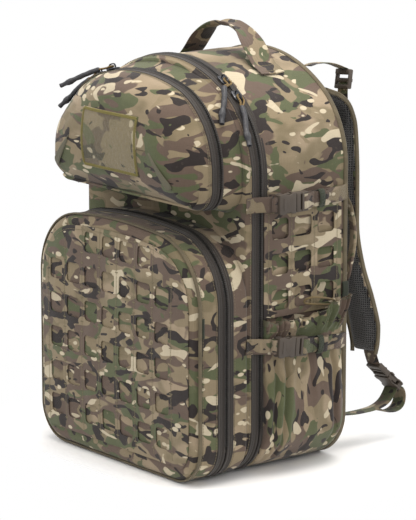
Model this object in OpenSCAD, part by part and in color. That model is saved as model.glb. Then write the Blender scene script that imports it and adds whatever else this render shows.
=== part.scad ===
// Tackle backpack: a clamshell main compartment whose front door carries two zipped pockets.
// X points to the wearer's right, Y from the outward front to the wearer's back, Z up.
// The origin is on the underside of the base. All sizes are in millimetres.

/* [Main body] */
// Width of the pack's body
pack_w = 340; // [290:5:420]
// Height of the pack's body at its crown
pack_h = 527; // [440:1:640]
// Depth of the main compartment, from its zip line to the back face
main_d = 145; // [115:5:180]
// How far the main zip line lies in front of the origin
zip_front = 24; // [10:1:40]
// Height of the rounded top, from where the sides begin to curve up to the crown
shoulder_drop = 137; // [125:1:160]
// Radius of the upper corners
shoulder_r = 121; // [100:1:130]
// Radius of the lower corners
foot_r = 64; // [30:1:80]
// Thickness of the padded walls
wall = 4; // [2:0.5:8]
// Thickness of the back panel
panel_t = 4; // [2:0.5:8]
// Thickness of the plastic frame sheet
sheet_t = 3; // [1:0.5:4]
// Width of each aluminium frame stay
stay_w = 20; // [10:1:30]
// Depth of the door's rim, in front of its zip tape
door_rim = 3.5; // [2:0.5:10]

/* [Zips] */
// Visible width of both tapes together
tape_w = 25; // [18:1:34]
// Thickness of a tape
tape_t = 2; // [1:0.5:3]
// Width of the coil on each tape
coil_w = 3; // [2:0.5:5]
// Height of the coil above its tape
coil_h = 2; // [1:0.5:3]
// Space between the two coils, where a slider's wedge runs
coil_gap = 2.6; // [2:0.1:5]
// Length of a slider
slider_l = 20; // [14:1:26]
// Width of a slider
slider_w = 12; // [10:1:16]
// Length of a cord pull from its slider to its tip
pull_l = 76; // [40:1:90]
// Radius of a pull's sleeve
pull_r = 4; // [3:0.5:5]

/* [Pockets] */
// Space between the lower pocket's crown and the upper pocket's foot
pocket_gap = 28; // [26:1:50]
// Width of the lower pocket
lower_w = 340; // [260:5:340]
// Height of the lower pocket's rounded top
lower_drop = 93; // [92:1:110]
// Radius of the lower pocket's upper corners
lower_r = 88; // [60:1:90]
// Clearance under the lower pocket
lower_foot = 3; // [2:1:20]
// Distance from the door to the lower pocket's zip line
lower_rear = 34; // [28:1:60]
// Distance from the lower pocket's zip line to its front face
lower_d = 48; // [30:1:80]
// Width of the upper pocket
upper_w = 306; // [260:2:310]
// Height of the upper pocket
upper_h = 161; // [150:1:175]
// Distance of the upper pocket's crown below the pack's crown
upper_top_gap = 16; // [14:1:30]
// Height of the upper pocket's rounded top
upper_drop = 111; // [108:1:116]
// Radius of the upper pocket's upper corners
upper_r = 104; // [90:1:105]
// Distance from the door to the upper pocket's zip line
upper_rear = 30; // [26:1:50]
// Distance from the upper pocket's zip line to its front face
upper_d = 56; // [40:1:58]
// Width of the loop patch
patch_w = 118; // [60:1:130]
// Height of the loop patch
patch_h = 78; // [40:1:80]

/* [Webbing grids] */
// Distance from one column of windows to the next
grid_pitch = 38; // [34:1:42]
// Distance from one row of windows to the next
grid_row = 46; // [40:1:50]
// Width of a window
window_w = 28; // [20:1:31]
// Height of a window
window_h = 27; // [18:1:34]
// Thickness of the grid laminate
grid_t = 1.5; // [1:0.1:3]
// Columns of windows on the front
front_cols = 7; // [3:1:7]
// Rows of windows on the front
front_rows = 6; // [2:1:6]
// Columns of windows on each side
side_cols = 3; // [2:1:3]
// Rows of windows on each side
side_rows = 3; // [1:1:3]

/* [Compression straps] */
// Width of the webbing
strap_w = 20; // [15:1:25]
// Thickness of the webbing
strap_t = 1.5; // [1:0.1:2.5]
// Distance of the upper straps below the pack's crown
upper_strap_drop = 170; // [150:1:180]
// Height of the lower straps where they leave the door
lower_strap_z = 175; // [150:1:185]
// Tilt of the lower straps, down towards the back
lower_strap_tilt = 5; // [0:1:8]
// How far the straps stand off the side of the body
strap_off = 8.8; // [8:0.1:12]
// Length of the female half of a buckle
female_l = 27; // [22:0.5:34]
// Width of a buckle
buckle_w = 27; // [24:1:34]
// Thickness of a buckle
buckle_t = 11; // [9:0.5:14]
// Length of the male half outside the female half
male_l = 20; // [14:1:24]
// Room left ahead of the prongs inside the female half
prong_gap = 2; // [1:0.5:6]
// Length of the rolled tail behind a buckle
tail_l = 38; // [25:1:38]

/* [Side pockets] */
// Height of a side pocket's rim
side_top = 210; // [200:1:230]
// Length of a side pocket along the body
side_len = 128; // [100:1:128]
// Bulge of a side pocket below the strap
side_bulge = 16; // [10:1:20]
// Wall of a side pocket
side_wall = 2.2; // [1.5:0.1:3]

/* [Handles] */
// Width of the top handle's webbing
handle_w = 38; // [25:1:50]
// Half the distance between the top handle's feet
handle_half = 70; // [50:1:80]
// Height of the top handle's crown above the pack's crown
handle_rise = 37; // [25:1:50]
// Thickness of the handles
handle_t = 3.5; // [2:0.5:6]
// Length of the side handle
side_handle_l = 109; // [80:1:130]
// Bow of the side handle
side_handle_bow = 20; // [12:1:30]

/* [Harness] */
// Width of a shoulder strap's pad
pad_w = 62; // [45:1:75]
// Thickness of a shoulder strap's pad
pad_t = 12; // [8:1:16]
// Distance of a shoulder strap's centre from the middle, at its top
strap_x_top = 85; // [60:1:95]
// Splay of the shoulder straps, outwards and down
strap_splay = 5; // [0:1:7]
// Width of the harness webbing
harness_w = 25; // [20:1:30]
// Thickness of the back pads
back_pad_t = 10; // [6:1:16]

/* [Hidden] */

gap = 0.3;                 // between pieces of different moving bodies
lay = 0.2;                 // between a sewn-on piece and the curved wall under it
side_x = pack_w / 2;
zip_y = -zip_front;
back_y = zip_y + main_d;
half_tape = tape_w / 2;
door_back = zip_y - half_tape - door_rim;
door_y = door_back - wall;
upper_zip_y = door_y - upper_rear;
upper_y = upper_zip_y - upper_d;
lower_zip_y = door_y - lower_rear;
lower_y = lower_zip_y - lower_d;
upper_top = pack_h - upper_top_gap;
upper_foot = upper_top - upper_h;
lower_top = upper_foot - pocket_gap;
flare = 8;                 // how much wider the upper pocket's gusset is at the door
pocket_foot_r = 30;
lower_foot_r = 48;

// An arch is [width, crown height, height where the sides end, corner radius, foot height, foot radius]
main_arch = [pack_w, pack_h, pack_h - shoulder_drop, shoulder_r, 0, foot_r];
upper_arch = [upper_w, upper_top, upper_top - upper_drop, upper_r, upper_foot, pocket_foot_r];
lower_arch = [lower_w, lower_top, lower_top - lower_drop, lower_r, lower_foot, lower_foot_r];

// The crown's arc is tangent to both corner arcs: its centre height, radius and end angle
function crown_z(a) = let (u = a[1] - a[3], s = a[2], k = a[0] / 2 - a[3]) (u + s - k * k / (u - s)) / 2;
function crown_r(a) = a[1] - crown_z(a);
function crown_a(a) = atan2(a[2] - crown_z(a), a[0] / 2 - a[3]);
function arc(cx, cz, r, a0, a1, n) =
    [for (i = [0:n]) let (t = a0 + (a1 - a0) * i / n) [cx + r * cos(t), cz + r * sin(t)]];
// Outline of an arch, inset by t
function outline(a, t) = let (k = a[0] / 2 - a[3], f = a[0] / 2 - a[5], e = crown_a(a)) concat(
    arc(k, a[2], a[3] - t, 0, e, 8),
    arc(0, crown_z(a), crown_r(a) - t, e + 4, 176 - e, 8),
    arc(-k, a[2], a[3] - t, 180 - e, 180, 8),
    arc(-f, a[4] + a[5], a[5] - t, 180, 270, 6),
    arc(f, a[4] + a[5], a[5] - t, 270, 360, 6));
// A strip of thickness t along a path
function unit(v) = v / norm(v);
function path_dir(p, i) = unit(p[min(i + 1, len(p) - 1)] - p[max(i - 1, 0)]);
function side_pts(p, d) = [for (i = [0:len(p) - 1]) let (v = path_dir(p, i)) p[i] + d * [-v[1], v[0]]];
function flip(p) = [for (i = [len(p) - 1:-1:0]) p[i]];
function ribbon(p, t) = concat(side_pts(p, t / 2), flip(side_pts(p, -t / 2)));

module slab_x(pts, x0, x1) translate([x0, 0, 0]) rotate([90, 0, 90]) linear_extrude(x1 - x0) polygon(pts);
module slab_y(pts, y0, y1) translate([0, y1, 0]) rotate([90, 0, 0]) linear_extrude(y1 - y0) polygon(pts);
module slab_z(pts, z0, z1) translate([0, 0, z0]) linear_extrude(z1 - z0) polygon(pts);
module block(lo, hi) translate(lo) cube(hi - lo);
module both() { children(); mirror([1, 0, 0]) children(); }

// A round cord along a path of points, as rings of n sides
module cord(p, r, n = 8) {
    m = len(p);
    dirs = [for (i = [0:m - 1]) unit(p[min(i + 1, m - 1)] - p[max(i - 1, 0)])];
    function side(i) = unit(cross(dirs[i], abs(dirs[i][0]) < 0.8 ? [1, 0, 0] : [0, 1, 0]));
    pts = [for (i = [0:m - 1]) for (j = [0:n - 1]) let (u = side(i), v = cross(dirs[i], u), t = 360 * j / n)
        p[i] + r * (cos(t) * u + sin(t) * v)];
    faces = concat([[for (j = [n - 1:-1:0]) j]],
        [for (i = [0:m - 2]) for (j = [0:n - 1]) let (k = (j + 1) % n)
            [i * n + j, i * n + k, (i + 1) * n + k, (i + 1) * n + j]],
        [[for (j = [0:n - 1]) (m - 1) * n + j]]);
    polyhedron(pts, faces);
}

// ---- Main compartment ----
base_half = side_x - foot_r;
module base_panel() color("#6f6a4b")
    block([-base_half, zip_y + gap, 0], [base_half, back_y - panel_t, wall]);
module main_gusset() color("#8f8462") difference() {
    slab_y(outline(main_arch, 0), zip_y + half_tape, back_y - panel_t);
    slab_y(outline(main_arch, wall), zip_y, back_y);
    block([-base_half, zip_y, -1], [base_half, back_y, wall + 1]);
}
module back_panel() color("#4b463a") slab_y(outline(main_arch, 0), back_y - panel_t, back_y);
sheet_inset = wall + 8;
sheet_y = back_y - panel_t - sheet_t;
module frame_sheet() color("#26282a") slab_y(outline(main_arch, sheet_inset), sheet_y, back_y - panel_t);
stay_t = 3;
stay_x = 55;
stay_z0 = 40;
stay_top_gap = 60;
module frame_stays() color("#b9bcc0") both()
    block([stay_x - stay_w / 2, sheet_y - stay_t, stay_z0], [stay_x + stay_w / 2, sheet_y, pack_h - stay_top_gap]);

// ---- Zips ----
coil_end = 10;             // a coil stops this far above its arch's foot
// One half of a zip around an arch, from y0 to y1, with its coil on the side of the zip line
module tape(a, y0, y1, coil_y) {
    f = a[0] / 2 - a[5];
    difference() {
        slab_y(outline(a, 0), y0, y1);
        slab_y(outline(a, tape_t), y0 - 1, y1 + 1);
        block([-f, y0 - 1, a[4] - 1], [f, y1 + 1, a[4] + tape_t + 1]);
    }
    difference() {
        slab_y(outline(a, -coil_h), coil_y, coil_y + coil_w);
        slab_y(outline(a, 0), coil_y - 1, coil_y + coil_w + 1);
        block([-a[0], coil_y - 1, a[4] - coil_h - 1], [a[0], coil_y + coil_w + 1, a[4] + coil_end]);
    }
}
module tape_behind(a, y) tape(a, y + coil_gap / 2, y + half_tape, y + coil_gap / 2);
module tape_before(a, y) tape(a, y - half_tape, y - coil_gap / 2, y - coil_gap / 2 - coil_w);
zip_grey = "#45413a";
module main_tape_rear() color(zip_grey) tape_behind(main_arch, zip_y);
module main_tape_front() color(zip_grey) tape_before(main_arch, zip_y);
module pocket_tapes_rear() color(zip_grey) {
    tape_behind(upper_arch, upper_zip_y);
    tape_behind(lower_arch, lower_zip_y);
}
module upper_tape_front() color(zip_grey) tape_before(upper_arch, upper_zip_y);
module lower_tape_front() color(zip_grey) tape_before(lower_arch, lower_zip_y);

// Slider, lying along X on a zip whose tape has its outer face at z = 0 and its zip line at y = 0
slide_gap = 0.6;           // between a slider's plates and what runs between them
plate_t = 2;
plate_z = coil_h + slide_gap;
under_z = -tape_t - slide_gap - 0.4;
bail_w = 2;
bail_h = 4.4;
pull_z = plate_z + plate_t + 2.6;
module slider() color("#34363a") {
    block([-slider_l / 2, -slider_w / 2, plate_z], [slider_l / 2, slider_w / 2, plate_z + plate_t]);
    block([-slider_l / 2, -slider_w / 2, under_z - plate_t], [slider_l / 2, slider_w / 2, under_z]);
    block([slider_l / 2 - 6, -0.7, under_z - 0.5], [slider_l / 2 - 1, 0.7, plate_z + 0.5]);
    difference() {
        block([-7, -bail_w / 2, plate_z + plate_t - 0.5], [7, bail_w / 2, plate_z + plate_t + bail_h + 1.5]);
        block([-5, -bail_w, plate_z + plate_t], [5, bail_w, plate_z + plate_t + bail_h]);
    }
}
module rod(p, q, r) let (v = q - p) translate(p) rotate([0, acos(v[2] / norm(v)), atan2(v[1], v[0])])
    cylinder(r = r, h = norm(v), $fn = 8);
// Cord pull for that slider: it leans down from the tape's direction by droop and sideways by skew
loop_r = 1.1;
loop_y = 3.2;
loop_bend = 10.5;          // past the bail, where the strands turn to the sleeve
sleeve_from = 21;
module pull(droop, skew) color("#1d1d1f") translate([0, 0, pull_z]) rotate([0, droop, 0]) {
    dx = cos(skew);
    dy = -sin(skew);
    neck = sleeve_from * [dx, dy, 0];
    rod([0, -loop_y - loop_r, 0], [0, loop_y + loop_r, 0], loop_r);
    for (s = [-1, 1]) {
        rod([-loop_r, s * loop_y, 0], [loop_bend, s * loop_y, 0], loop_r);
        rod([loop_bend - loop_r, s * loop_y, 0], neck + [0, s * 1.6, 0], loop_r);
    }
    rotate([0, 0, -skew]) rotate([0, 90, 0]) {
        translate([0, 0, sleeve_from - 3]) cylinder(r = pull_r, h = pull_l - sleeve_from + 3, $fn = 24);
        translate([0, 0, pull_l - 16]) cylinder(r = pull_r + 1, h = 9, $fn = 24);
    }
}
// Puts a slider on an arc about [cx, cz] of radius r at angle a; sense is 1 when +X of the slider
// points towards smaller angles, and -1 the other way
module on_arc(cx, cz, r, a, y, sense) translate([cx, y, cz]) rotate([0, -a, 0]) translate([r, 0, 0])
    rotate([0, 90, 0]) mirror([sense > 0 ? 0 : 1, 0, 0]) children();
main_k = side_x - shoulder_r;
main_a_deg = crown_a(main_arch) + 7.7;
main_b_deg = crown_a(main_arch) - 1.8;
droop_a = 5;
droop_b = 8;
skew_a = 35;
skew_b = 14;
module at_main_a() on_arc(0, crown_z(main_arch), crown_r(main_arch), main_a_deg, zip_y, 1) children();
module at_main_b() on_arc(main_k, main_arch[2], shoulder_r, main_b_deg, zip_y, 1) children();
module main_slider_a() at_main_a() slider();
module main_slider_b() at_main_b() slider();
module main_pull_a() at_main_a() pull(droop_a, skew_a);
module main_pull_b() at_main_b() pull(droop_b, skew_b);
upper_k = upper_w / 2 - upper_r;
upper_a_deg = 178.2 - crown_a(upper_arch);
upper_b_deg = 191.7 - crown_a(upper_arch);
module at_upper_a() on_arc(0, crown_z(upper_arch), crown_r(upper_arch), upper_a_deg, upper_zip_y, -1) children();
module at_upper_b() on_arc(-upper_k, upper_arch[2], upper_r, upper_b_deg, upper_zip_y, -1) children();
module upper_slider_a() at_upper_a() slider();
module upper_slider_b() at_upper_b() slider();
module upper_pull_a() at_upper_a() pull(droop_a, skew_a);
module upper_pull_b() at_upper_b() pull(droop_b, skew_b);
lower_slider_z = 190;
module at_lower() translate([-lower_w / 2, lower_zip_y, lower_slider_z]) rotate([0, -90, 0])
    mirror([1, 0, 0]) children();
module lower_slider() at_lower() slider();
module lower_pull() at_lower() pull(0, 0);

// ---- Door and pockets ----
module door_panel() color("#8a7a58") {
    slab_y(outline(main_arch, 0), door_y, door_back);
    difference() {
        slab_y(outline(main_arch, 0), door_back - 1, door_back + door_rim);
        slab_y(outline(main_arch, wall), door_back - 2, door_back + door_rim + 1);
    }
    block([-base_half, door_back, 0], [base_half, zip_y - gap, tape_t]);
}
// A thin slice of an arch's outline, for hulls
slice_t = 0.2;
module slice(a, t, y) slab_y(outline(a, t), y, y + slice_t);
module upper_gusset() color("#8f8462") {
    difference() {
        hull() {
            slice(upper_arch, -flare, door_y - slice_t);
            slice(upper_arch, 0, upper_zip_y + half_tape);
        }
        hull() {
            slice(upper_arch, wall - flare, door_y);
            slice(upper_arch, wall, upper_zip_y + half_tape - 1);
        }
    }
    f = upper_w / 2 - pocket_foot_r;
    block([-f, upper_zip_y + gap, upper_foot], [f, upper_zip_y + half_tape + 1, upper_foot + tape_t]);
}
module lower_gusset() color("#8f8462") {
    difference() {
        slab_y(outline(lower_arch, 0), lower_zip_y + half_tape, door_y);
        slab_y(outline(lower_arch, wall), lower_zip_y, door_y + 1);
    }
    f = lower_w / 2 - lower_foot_r;
    block([-f, lower_zip_y + gap, lower_foot], [f, lower_zip_y + half_tape + 1, lower_foot + tape_t]);
}
upper_face_inset = 30;
upper_edge_inset = 8;
upper_edge_y = upper_y + 22;
module upper_shell() color("#a0916c") {
    difference() {
        hull() {
            slice(upper_arch, 0, upper_zip_y - half_tape - slice_t);
            slice(upper_arch, upper_edge_inset, upper_edge_y);
            slice(upper_arch, upper_face_inset, upper_y);
        }
        hull() {
            slice(upper_arch, wall, upper_zip_y - half_tape);
            slice(upper_arch, upper_edge_inset + wall, upper_edge_y);
            slice(upper_arch, upper_face_inset + 2, upper_y + wall);
        }
    }
    f = upper_w / 2 - pocket_foot_r;
    block([-f, upper_zip_y - half_tape - 1, upper_foot], [f, upper_zip_y - gap, upper_foot + tape_t]);
}
patch_t = 1.6;
patch_z = upper_foot + upper_face_inset + 7;
module loop_patch() color("#8c8158")
    block([-patch_w / 2, upper_y - patch_t, patch_z], [patch_w / 2, upper_y, patch_z + patch_h]);
lower_face_inset = 14;
lower_bevel = 7;
module lower_shell() color("#9a8b66") {
    difference() {
        hull() {
            slab_y(outline(lower_arch, 0), lower_y + lower_bevel, lower_zip_y - half_tape);
            slice(lower_arch, lower_face_inset, lower_y);
        }
        hull() {
            slab_y(outline(lower_arch, wall), lower_y + lower_bevel + 1, lower_zip_y);
            slice(lower_arch, lower_face_inset + 2, lower_y + wall);
        }
    }
    f = lower_w / 2 - lower_foot_r;
    block([-f, lower_zip_y - half_tape - 1, lower_foot], [f, lower_zip_y - gap, lower_foot + tape_t]);
}
// A window with clipped corners, centred on [u, v]
window_c = 5;
function window(u, v) = let (a = window_w / 2, b = window_h / 2, c = window_c)
    [[u - a + c, v - b], [u + a - c, v - b], [u + a, v - b + c], [u + a, v + b - c],
     [u + a - c, v + b], [u - a + c, v + b], [u - a, v + b - c], [u - a, v - b + c]];
front_grid_top = lower_top - lower_face_inset - 22;
front_grid_foot = 40;
front_col0 = -8 - (front_cols - 1) / 2 * grid_pitch;
module front_grid() color("#8c8158") difference() {
    slab_y(outline(lower_arch, lower_face_inset), lower_y - grid_t, lower_y);
    block([-pack_w, lower_y - grid_t - 1, -1], [pack_w, lower_y + 1, front_grid_foot]);
    for (c = [0:front_cols - 1], r = [0:front_rows - 1])
        let (u = front_col0 + c * grid_pitch, v = front_grid_top - r * grid_row)
            if (abs(u) + window_w / 2 < lower_w / 2 - lower_face_inset - 8 && v > front_grid_foot + window_h / 2
                && !(r == 0 && abs(u) > lower_w / 2 - lower_r))
                slab_y(window(u, v), lower_y - grid_t - 1, lower_y + 1);
}

// ---- Side grids and side pockets ----
strap_out = side_x + strap_off;
upper_strap_z = pack_h - upper_strap_drop;
side_y0 = zip_y + 6;
side_y1 = side_y0 + side_len;
side_grid_z0 = side_top + 4;
side_grid_z1 = upper_strap_z - strap_w / 2 - 1;
module side_grid() color("#8c8158") difference() {
    block([side_x + lay, side_y0, side_grid_z0], [side_x + lay + grid_t, side_y1, side_grid_z1]);
    for (c = [0:side_cols - 1], r = [0:side_rows - 1])
        let (u = side_y0 + 26 + c * grid_pitch, v = side_grid_z1 - 24 - r * grid_row)
            if (v - window_h / 2 > side_grid_z0 + 3)
                slab_x(window(u, v), side_x, side_x + 4);
}
module side_grid_right() side_grid();
module side_grid_left() mirror([1, 0, 0]) side_grid();

// A slice of the pocket's plan at height z, out to x, shrunk by t
module pocket_slice(z, x, t) slab_z([[side_x - 70, side_y0 + t], [side_x + 2 - t, side_y0 + t],
    [x - 4 - t / 2, side_y0 + 5 + t], [x - t, side_y0 + 17], [x - t, side_y1 - 19],
    [x - 4 - t / 2, side_y1 - 6 - t], [side_x + 2 - t, side_y1 - t], [side_x - 70, side_y1 - t]], z, z + slice_t);
neck_x = strap_out - 0.5;
bulge_x = side_x + side_bulge;
neck_z0 = lower_strap_z - 31;
rim_x = strap_out + 5;
rim_z0 = lower_strap_z + 21;
// The pocket's solid shape, shrunk by t, with its foot at z0 and its rim at z1
module pocket_form(t, z0, z1) {
    hull() {
        pocket_slice(z0, side_x - 14, t);
        pocket_slice(34, bulge_x - 4, t);
        pocket_slice(90, bulge_x, t);
        pocket_slice(neck_z0 - 24, bulge_x - 2, t);
        pocket_slice(neck_z0, neck_x, t);
    }
    hull() {
        pocket_slice(neck_z0, neck_x, t);
        pocket_slice(rim_z0, neck_x, t);
    }
    hull() {
        pocket_slice(rim_z0, neck_x, t);
        pocket_slice(z1, rim_x, t);
    }
}
module side_pocket() color("#978862") difference() {
    pocket_form(0, 5, side_top);
    pocket_form(side_wall, 5 + 2 * side_wall, side_top + 0.5);
    slab_y(outline(main_arch, -gap), zip_y, back_y);
}
module side_pocket_right() side_pocket();
module side_pocket_left() mirror([1, 0, 0]) side_pocket();
cord_z = side_top + 8;
cord_r = 1.5;
module pocket_cords() color("#6b5a2c") both() cord([[side_x + 3.4, 100, cord_z - 3], [side_x + 10, 90, cord_z + 2],
    [side_x + 15, 70, cord_z + 8], [side_x + 15, 52, cord_z + 11], [side_x + 10, 44, cord_z + 8],
    [side_x + 8, 46, cord_z + 3], [side_x + 10, 60, cord_z], [side_x + 8, 82, cord_z - 4],
    [side_x + 3.4, 100, cord_z - 7]], cord_r);

// ---- Compression straps, built on the right side with the strap's line at z = 0 ----
strap_mid = strap_out + strap_t / 2;
sewn_mid = side_x + lay + strap_t / 2;
female_y = zip_y + 16;
mouth_y = female_y + female_l;
buckle_x = strap_out + strap_t + gap;
front_path = [[sewn_mid, door_y], [sewn_mid, door_back + 4], [strap_mid, zip_y + 8], [strap_mid, female_y + 7]];
rear_path = [[strap_mid, mouth_y + 8], [strap_mid, side_y1 - 8], [sewn_mid, side_y1 + 3],
    [sewn_mid, back_y - 2]];
module strap_level(z, tilt) translate([0, door_back, z]) rotate([-tilt, 0, 0]) translate([0, -door_back, 0])
    children();
module upper_level() strap_level(upper_strap_z, 0) children();
module lower_level() strap_level(lower_strap_z, lower_strap_tilt) children();
module webbing(path) slab_z(ribbon(path, strap_t), -strap_w / 2, strap_w / 2);
module front_webbings() color("#9b8c62") both() {
    upper_level() webbing(front_path);
    lower_level() webbing(front_path);
}
module rear_webbings() color("#9b8c62") both() {
    upper_level() webbing(rear_path);
    lower_level() webbing(rear_path);
}
shell_t = 2.3;             // plates of the female half
post = 2.3;                // posts at its mouth
module female() difference() {
    block([buckle_x, female_y, -buckle_w / 2], [buckle_x + buckle_t, mouth_y, buckle_w / 2]);
    block([buckle_x + shell_t, female_y + 7, post - buckle_w / 2],
        [buckle_x + buckle_t - shell_t, mouth_y + 1, buckle_w / 2 - post]);
    block([buckle_x + shell_t, female_y + 11, -buckle_w], [buckle_x + buckle_t - shell_t, mouth_y - 7, buckle_w]);
    block([buckle_x - 1, female_y + 2, -strap_w / 2 - 0.5], [buckle_x + buckle_t + 1, female_y + 5, strap_w / 2 + 0.5]);
}
module female_buckles() color("#4a463c") both() {
    upper_level() female();
    lower_level() female();
}
prong_l = female_l - 7 - prong_gap;
prong_root = buckle_w / 2 - post - 2.2;
prong_tip = prong_root - 3;
prong_t = buckle_t - 2 * shell_t - 1.6;
base_y = mouth_y + 2 * gap;
module male() color("#4a463c") {
    translate([buckle_x + shell_t + 0.8, 0, 0]) {
        slab_x([[base_y + 1, prong_root - 3.4], [base_y + 1, prong_root], [mouth_y - prong_l, prong_tip],
            [mouth_y - prong_l, prong_tip - 3]], 0, prong_t);
        slab_x([[base_y + 1, 3.4 - prong_root], [base_y + 1, -prong_root], [mouth_y - prong_l, -prong_tip],
            [mouth_y - prong_l, 3 - prong_tip]], 0, prong_t);
        slab_x([[base_y + 1, -1.5], [base_y + 1, 1.5], [mouth_y - prong_l, 1], [mouth_y - prong_l, -1]], 0, prong_t);
    }
    difference() {
        block([buckle_x, base_y, -buckle_w / 2 + 1], [buckle_x + buckle_t, base_y + male_l, buckle_w / 2 - 1]);
        for (s = [0.32, 0.68])
            block([buckle_x - 1, base_y + male_l * s, -strap_w / 2 - 0.5],
                [buckle_x + buckle_t + 1, base_y + male_l * s + 2.6, strap_w / 2 + 0.5]);
    }
}
module male_upper_right() upper_level() male();
module male_lower_right() lower_level() male();
module male_upper_left() mirror([1, 0, 0]) upper_level() male();
module male_lower_left() mirror([1, 0, 0]) lower_level() male();
tail_t = 9;
tail_y = base_y + male_l;
tail_end = tail_y + tail_l;
module tail() color("#8c8158") {
    slab_z(concat([[buckle_x, tail_y], [buckle_x + 1.8, tail_y], [buckle_x + tail_t - 1, tail_end - 22]],
        arc(buckle_x + tail_t / 2, tail_end - tail_t / 2, tail_t / 2, 0, 180, 8),
        [[buckle_x, tail_end - 8]]), -strap_w / 2, strap_w / 2);
    block([buckle_x, tail_end - 18, -strap_w / 2 - 1.5], [buckle_x + tail_t + 1.2, tail_end - 9, strap_w / 2 + 1.5]);
}
module tail_upper_right() upper_level() tail();
module tail_lower_right() lower_level() tail();
module tail_upper_left() mirror([1, 0, 0]) upper_level() tail();
module tail_lower_left() mirror([1, 0, 0]) lower_level() tail();

// ---- Handles ----
handle_y = 60;
foot_len = 24;
handle_foot_z = crown_z(main_arch) + sqrt(pow(crown_r(main_arch), 2) - handle_half * handle_half);
handle_bow = pack_h + handle_rise - handle_foot_z;
handle_r = (handle_half * handle_half + handle_bow * handle_bow) / (2 * handle_bow);
module top_handle() color("#7d6b4e") {
    cz = pack_h + handle_rise - handle_r;
    difference() {
        slab_y(arc(0, cz, handle_r, -20, 200, 36), handle_y - handle_w / 2, handle_y + handle_w / 2);
        slab_y(arc(0, cz, handle_r - handle_t, 0, 350, 48), handle_y - handle_w, handle_y + handle_w);
        slab_y(outline(main_arch, -lay), handle_y - handle_w, handle_y + handle_w);
    }
    both() intersection() {
        difference() {
            slab_y(outline(main_arch, -lay - handle_t * 0.7), handle_y - handle_w / 2, handle_y + handle_w / 2);
            slab_y(outline(main_arch, -lay), handle_y - handle_w, handle_y + handle_w);
        }
        block([handle_half - 4, 0, 0], [handle_half + foot_len, 2 * handle_y, 2 * pack_h]);
    }
}
side_handle_z = upper_strap_z - 11 - side_handle_l / 2;
side_handle_in = 14;
side_handle_w = 13;
side_handle_r = (pow(side_handle_l / 2, 2) + side_handle_bow * side_handle_bow) / (2 * side_handle_bow);
module side_handle() color("#8a7650") {
    x0 = side_x - side_handle_in;
    cy = back_y + side_handle_bow - side_handle_r;
    sweep = asin(side_handle_l / 2 / side_handle_r);
    difference() {
        slab_x(concat(arc(cy, side_handle_z, side_handle_r, -sweep, sweep, 16),
            flip(arc(cy, side_handle_z, side_handle_r - handle_t, -sweep - 6, sweep + 6, 16))), x0, x0 + side_handle_w);
        block([0, back_y - 40, 0], [2 * side_x, back_y, pack_h]);
    }
    for (s = [-1, 1]) translate([0, 0, side_handle_z + s * (side_handle_l / 2 + 1)])
        block([x0, back_y, -9], [x0 + side_handle_w, back_y + handle_t, 9]);
}

// ---- Harness ----
back_pad_x0 = 24;
back_pad_x1 = 124;
back_pad_z0 = 140;
back_pad_top_gap = 66;
pad_round = 3;
module pad(lo, hi) hull() {
    block([lo[0], lo[1], lo[2]], [hi[0], lo[1] + 2, hi[2]]);
    block([lo[0] + pad_round, hi[1] - 1, lo[2] + pad_round], [hi[0] - pad_round, hi[1], hi[2] - pad_round]);
}
module back_pads() color("#2b2b2c") both()
    pad([back_pad_x0, back_y, back_pad_z0], [back_pad_x1, back_y + back_pad_t, pack_h - back_pad_top_gap]);
lumbar_half = 100;
module lumbar_pad() color("#2b2b2c")
    pad([-lumbar_half, back_y, 30], [lumbar_half, back_y + back_pad_t + 3, back_pad_z0 - 14]);

// Paths of the right-hand shoulder strap in side view, [distance behind the back face, height]
function from_top(y, d) = [back_y + y, pack_h - d];
function from_base(y, z) = [back_y + y, z];
pad_path = [from_top(3.4, 46), from_top(14, 51), from_top(29, 57), from_top(43, 68), from_top(51, 84),
    from_top(55, 104), from_top(55, 150), from_top(52, 200), from_base(50, 285), from_base(57, 240),
    from_base(69, 200), from_base(77, 165), from_base(79, 136), from_base(75, 114)];
lifter_path = [from_top(5, 17), from_top(28, 15), from_top(50, 19), from_top(64, 25.6)];
lifter_tail_path = [from_top(61.2, 53.6), from_top(60.6, 68), from_top(60.8, 84), from_top(62.4, 102)];
stub_path = [from_base(86.3, 136), from_base(87, 118), from_base(92.2, 103)];
tail_path = [from_base(131.4, 66.3), from_base(136, 57), from_base(134, 44), from_base(124, 36), from_base(108, 36),
    from_base(94, 40)];
lower_path = [from_base(1, 52), from_base(24, 45), from_base(60, 42), from_base(90, 43), from_base(107, 49),
    from_base(116, 58.5), from_base(120.5, 65.1)];
lock_t = 9;
lock_h = 26;
buckle_len = 52;
// Splays the strap's lower end outwards about its top
module splay() translate([strap_x_top, 0, pack_h]) rotate([0, -strap_splay, 0]) translate([-strap_x_top, 0, -pack_h])
    children();
module strap_band(path, t, w) slab_x(ribbon(path, t), strap_x_top - w / 2, strap_x_top + w / 2);
module shoulder_pad() color("#5d563f") splay() strap_band(pad_path, pad_t, pad_w);
module harness_webbing() color("#9b8c62") splay() {
    strap_band(lifter_path, strap_t, strap_w);
    strap_band(lifter_tail_path, strap_t, strap_w);
    strap_band(stub_path, strap_t, harness_w);
    strap_band(tail_path, strap_t, harness_w);
}
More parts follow.
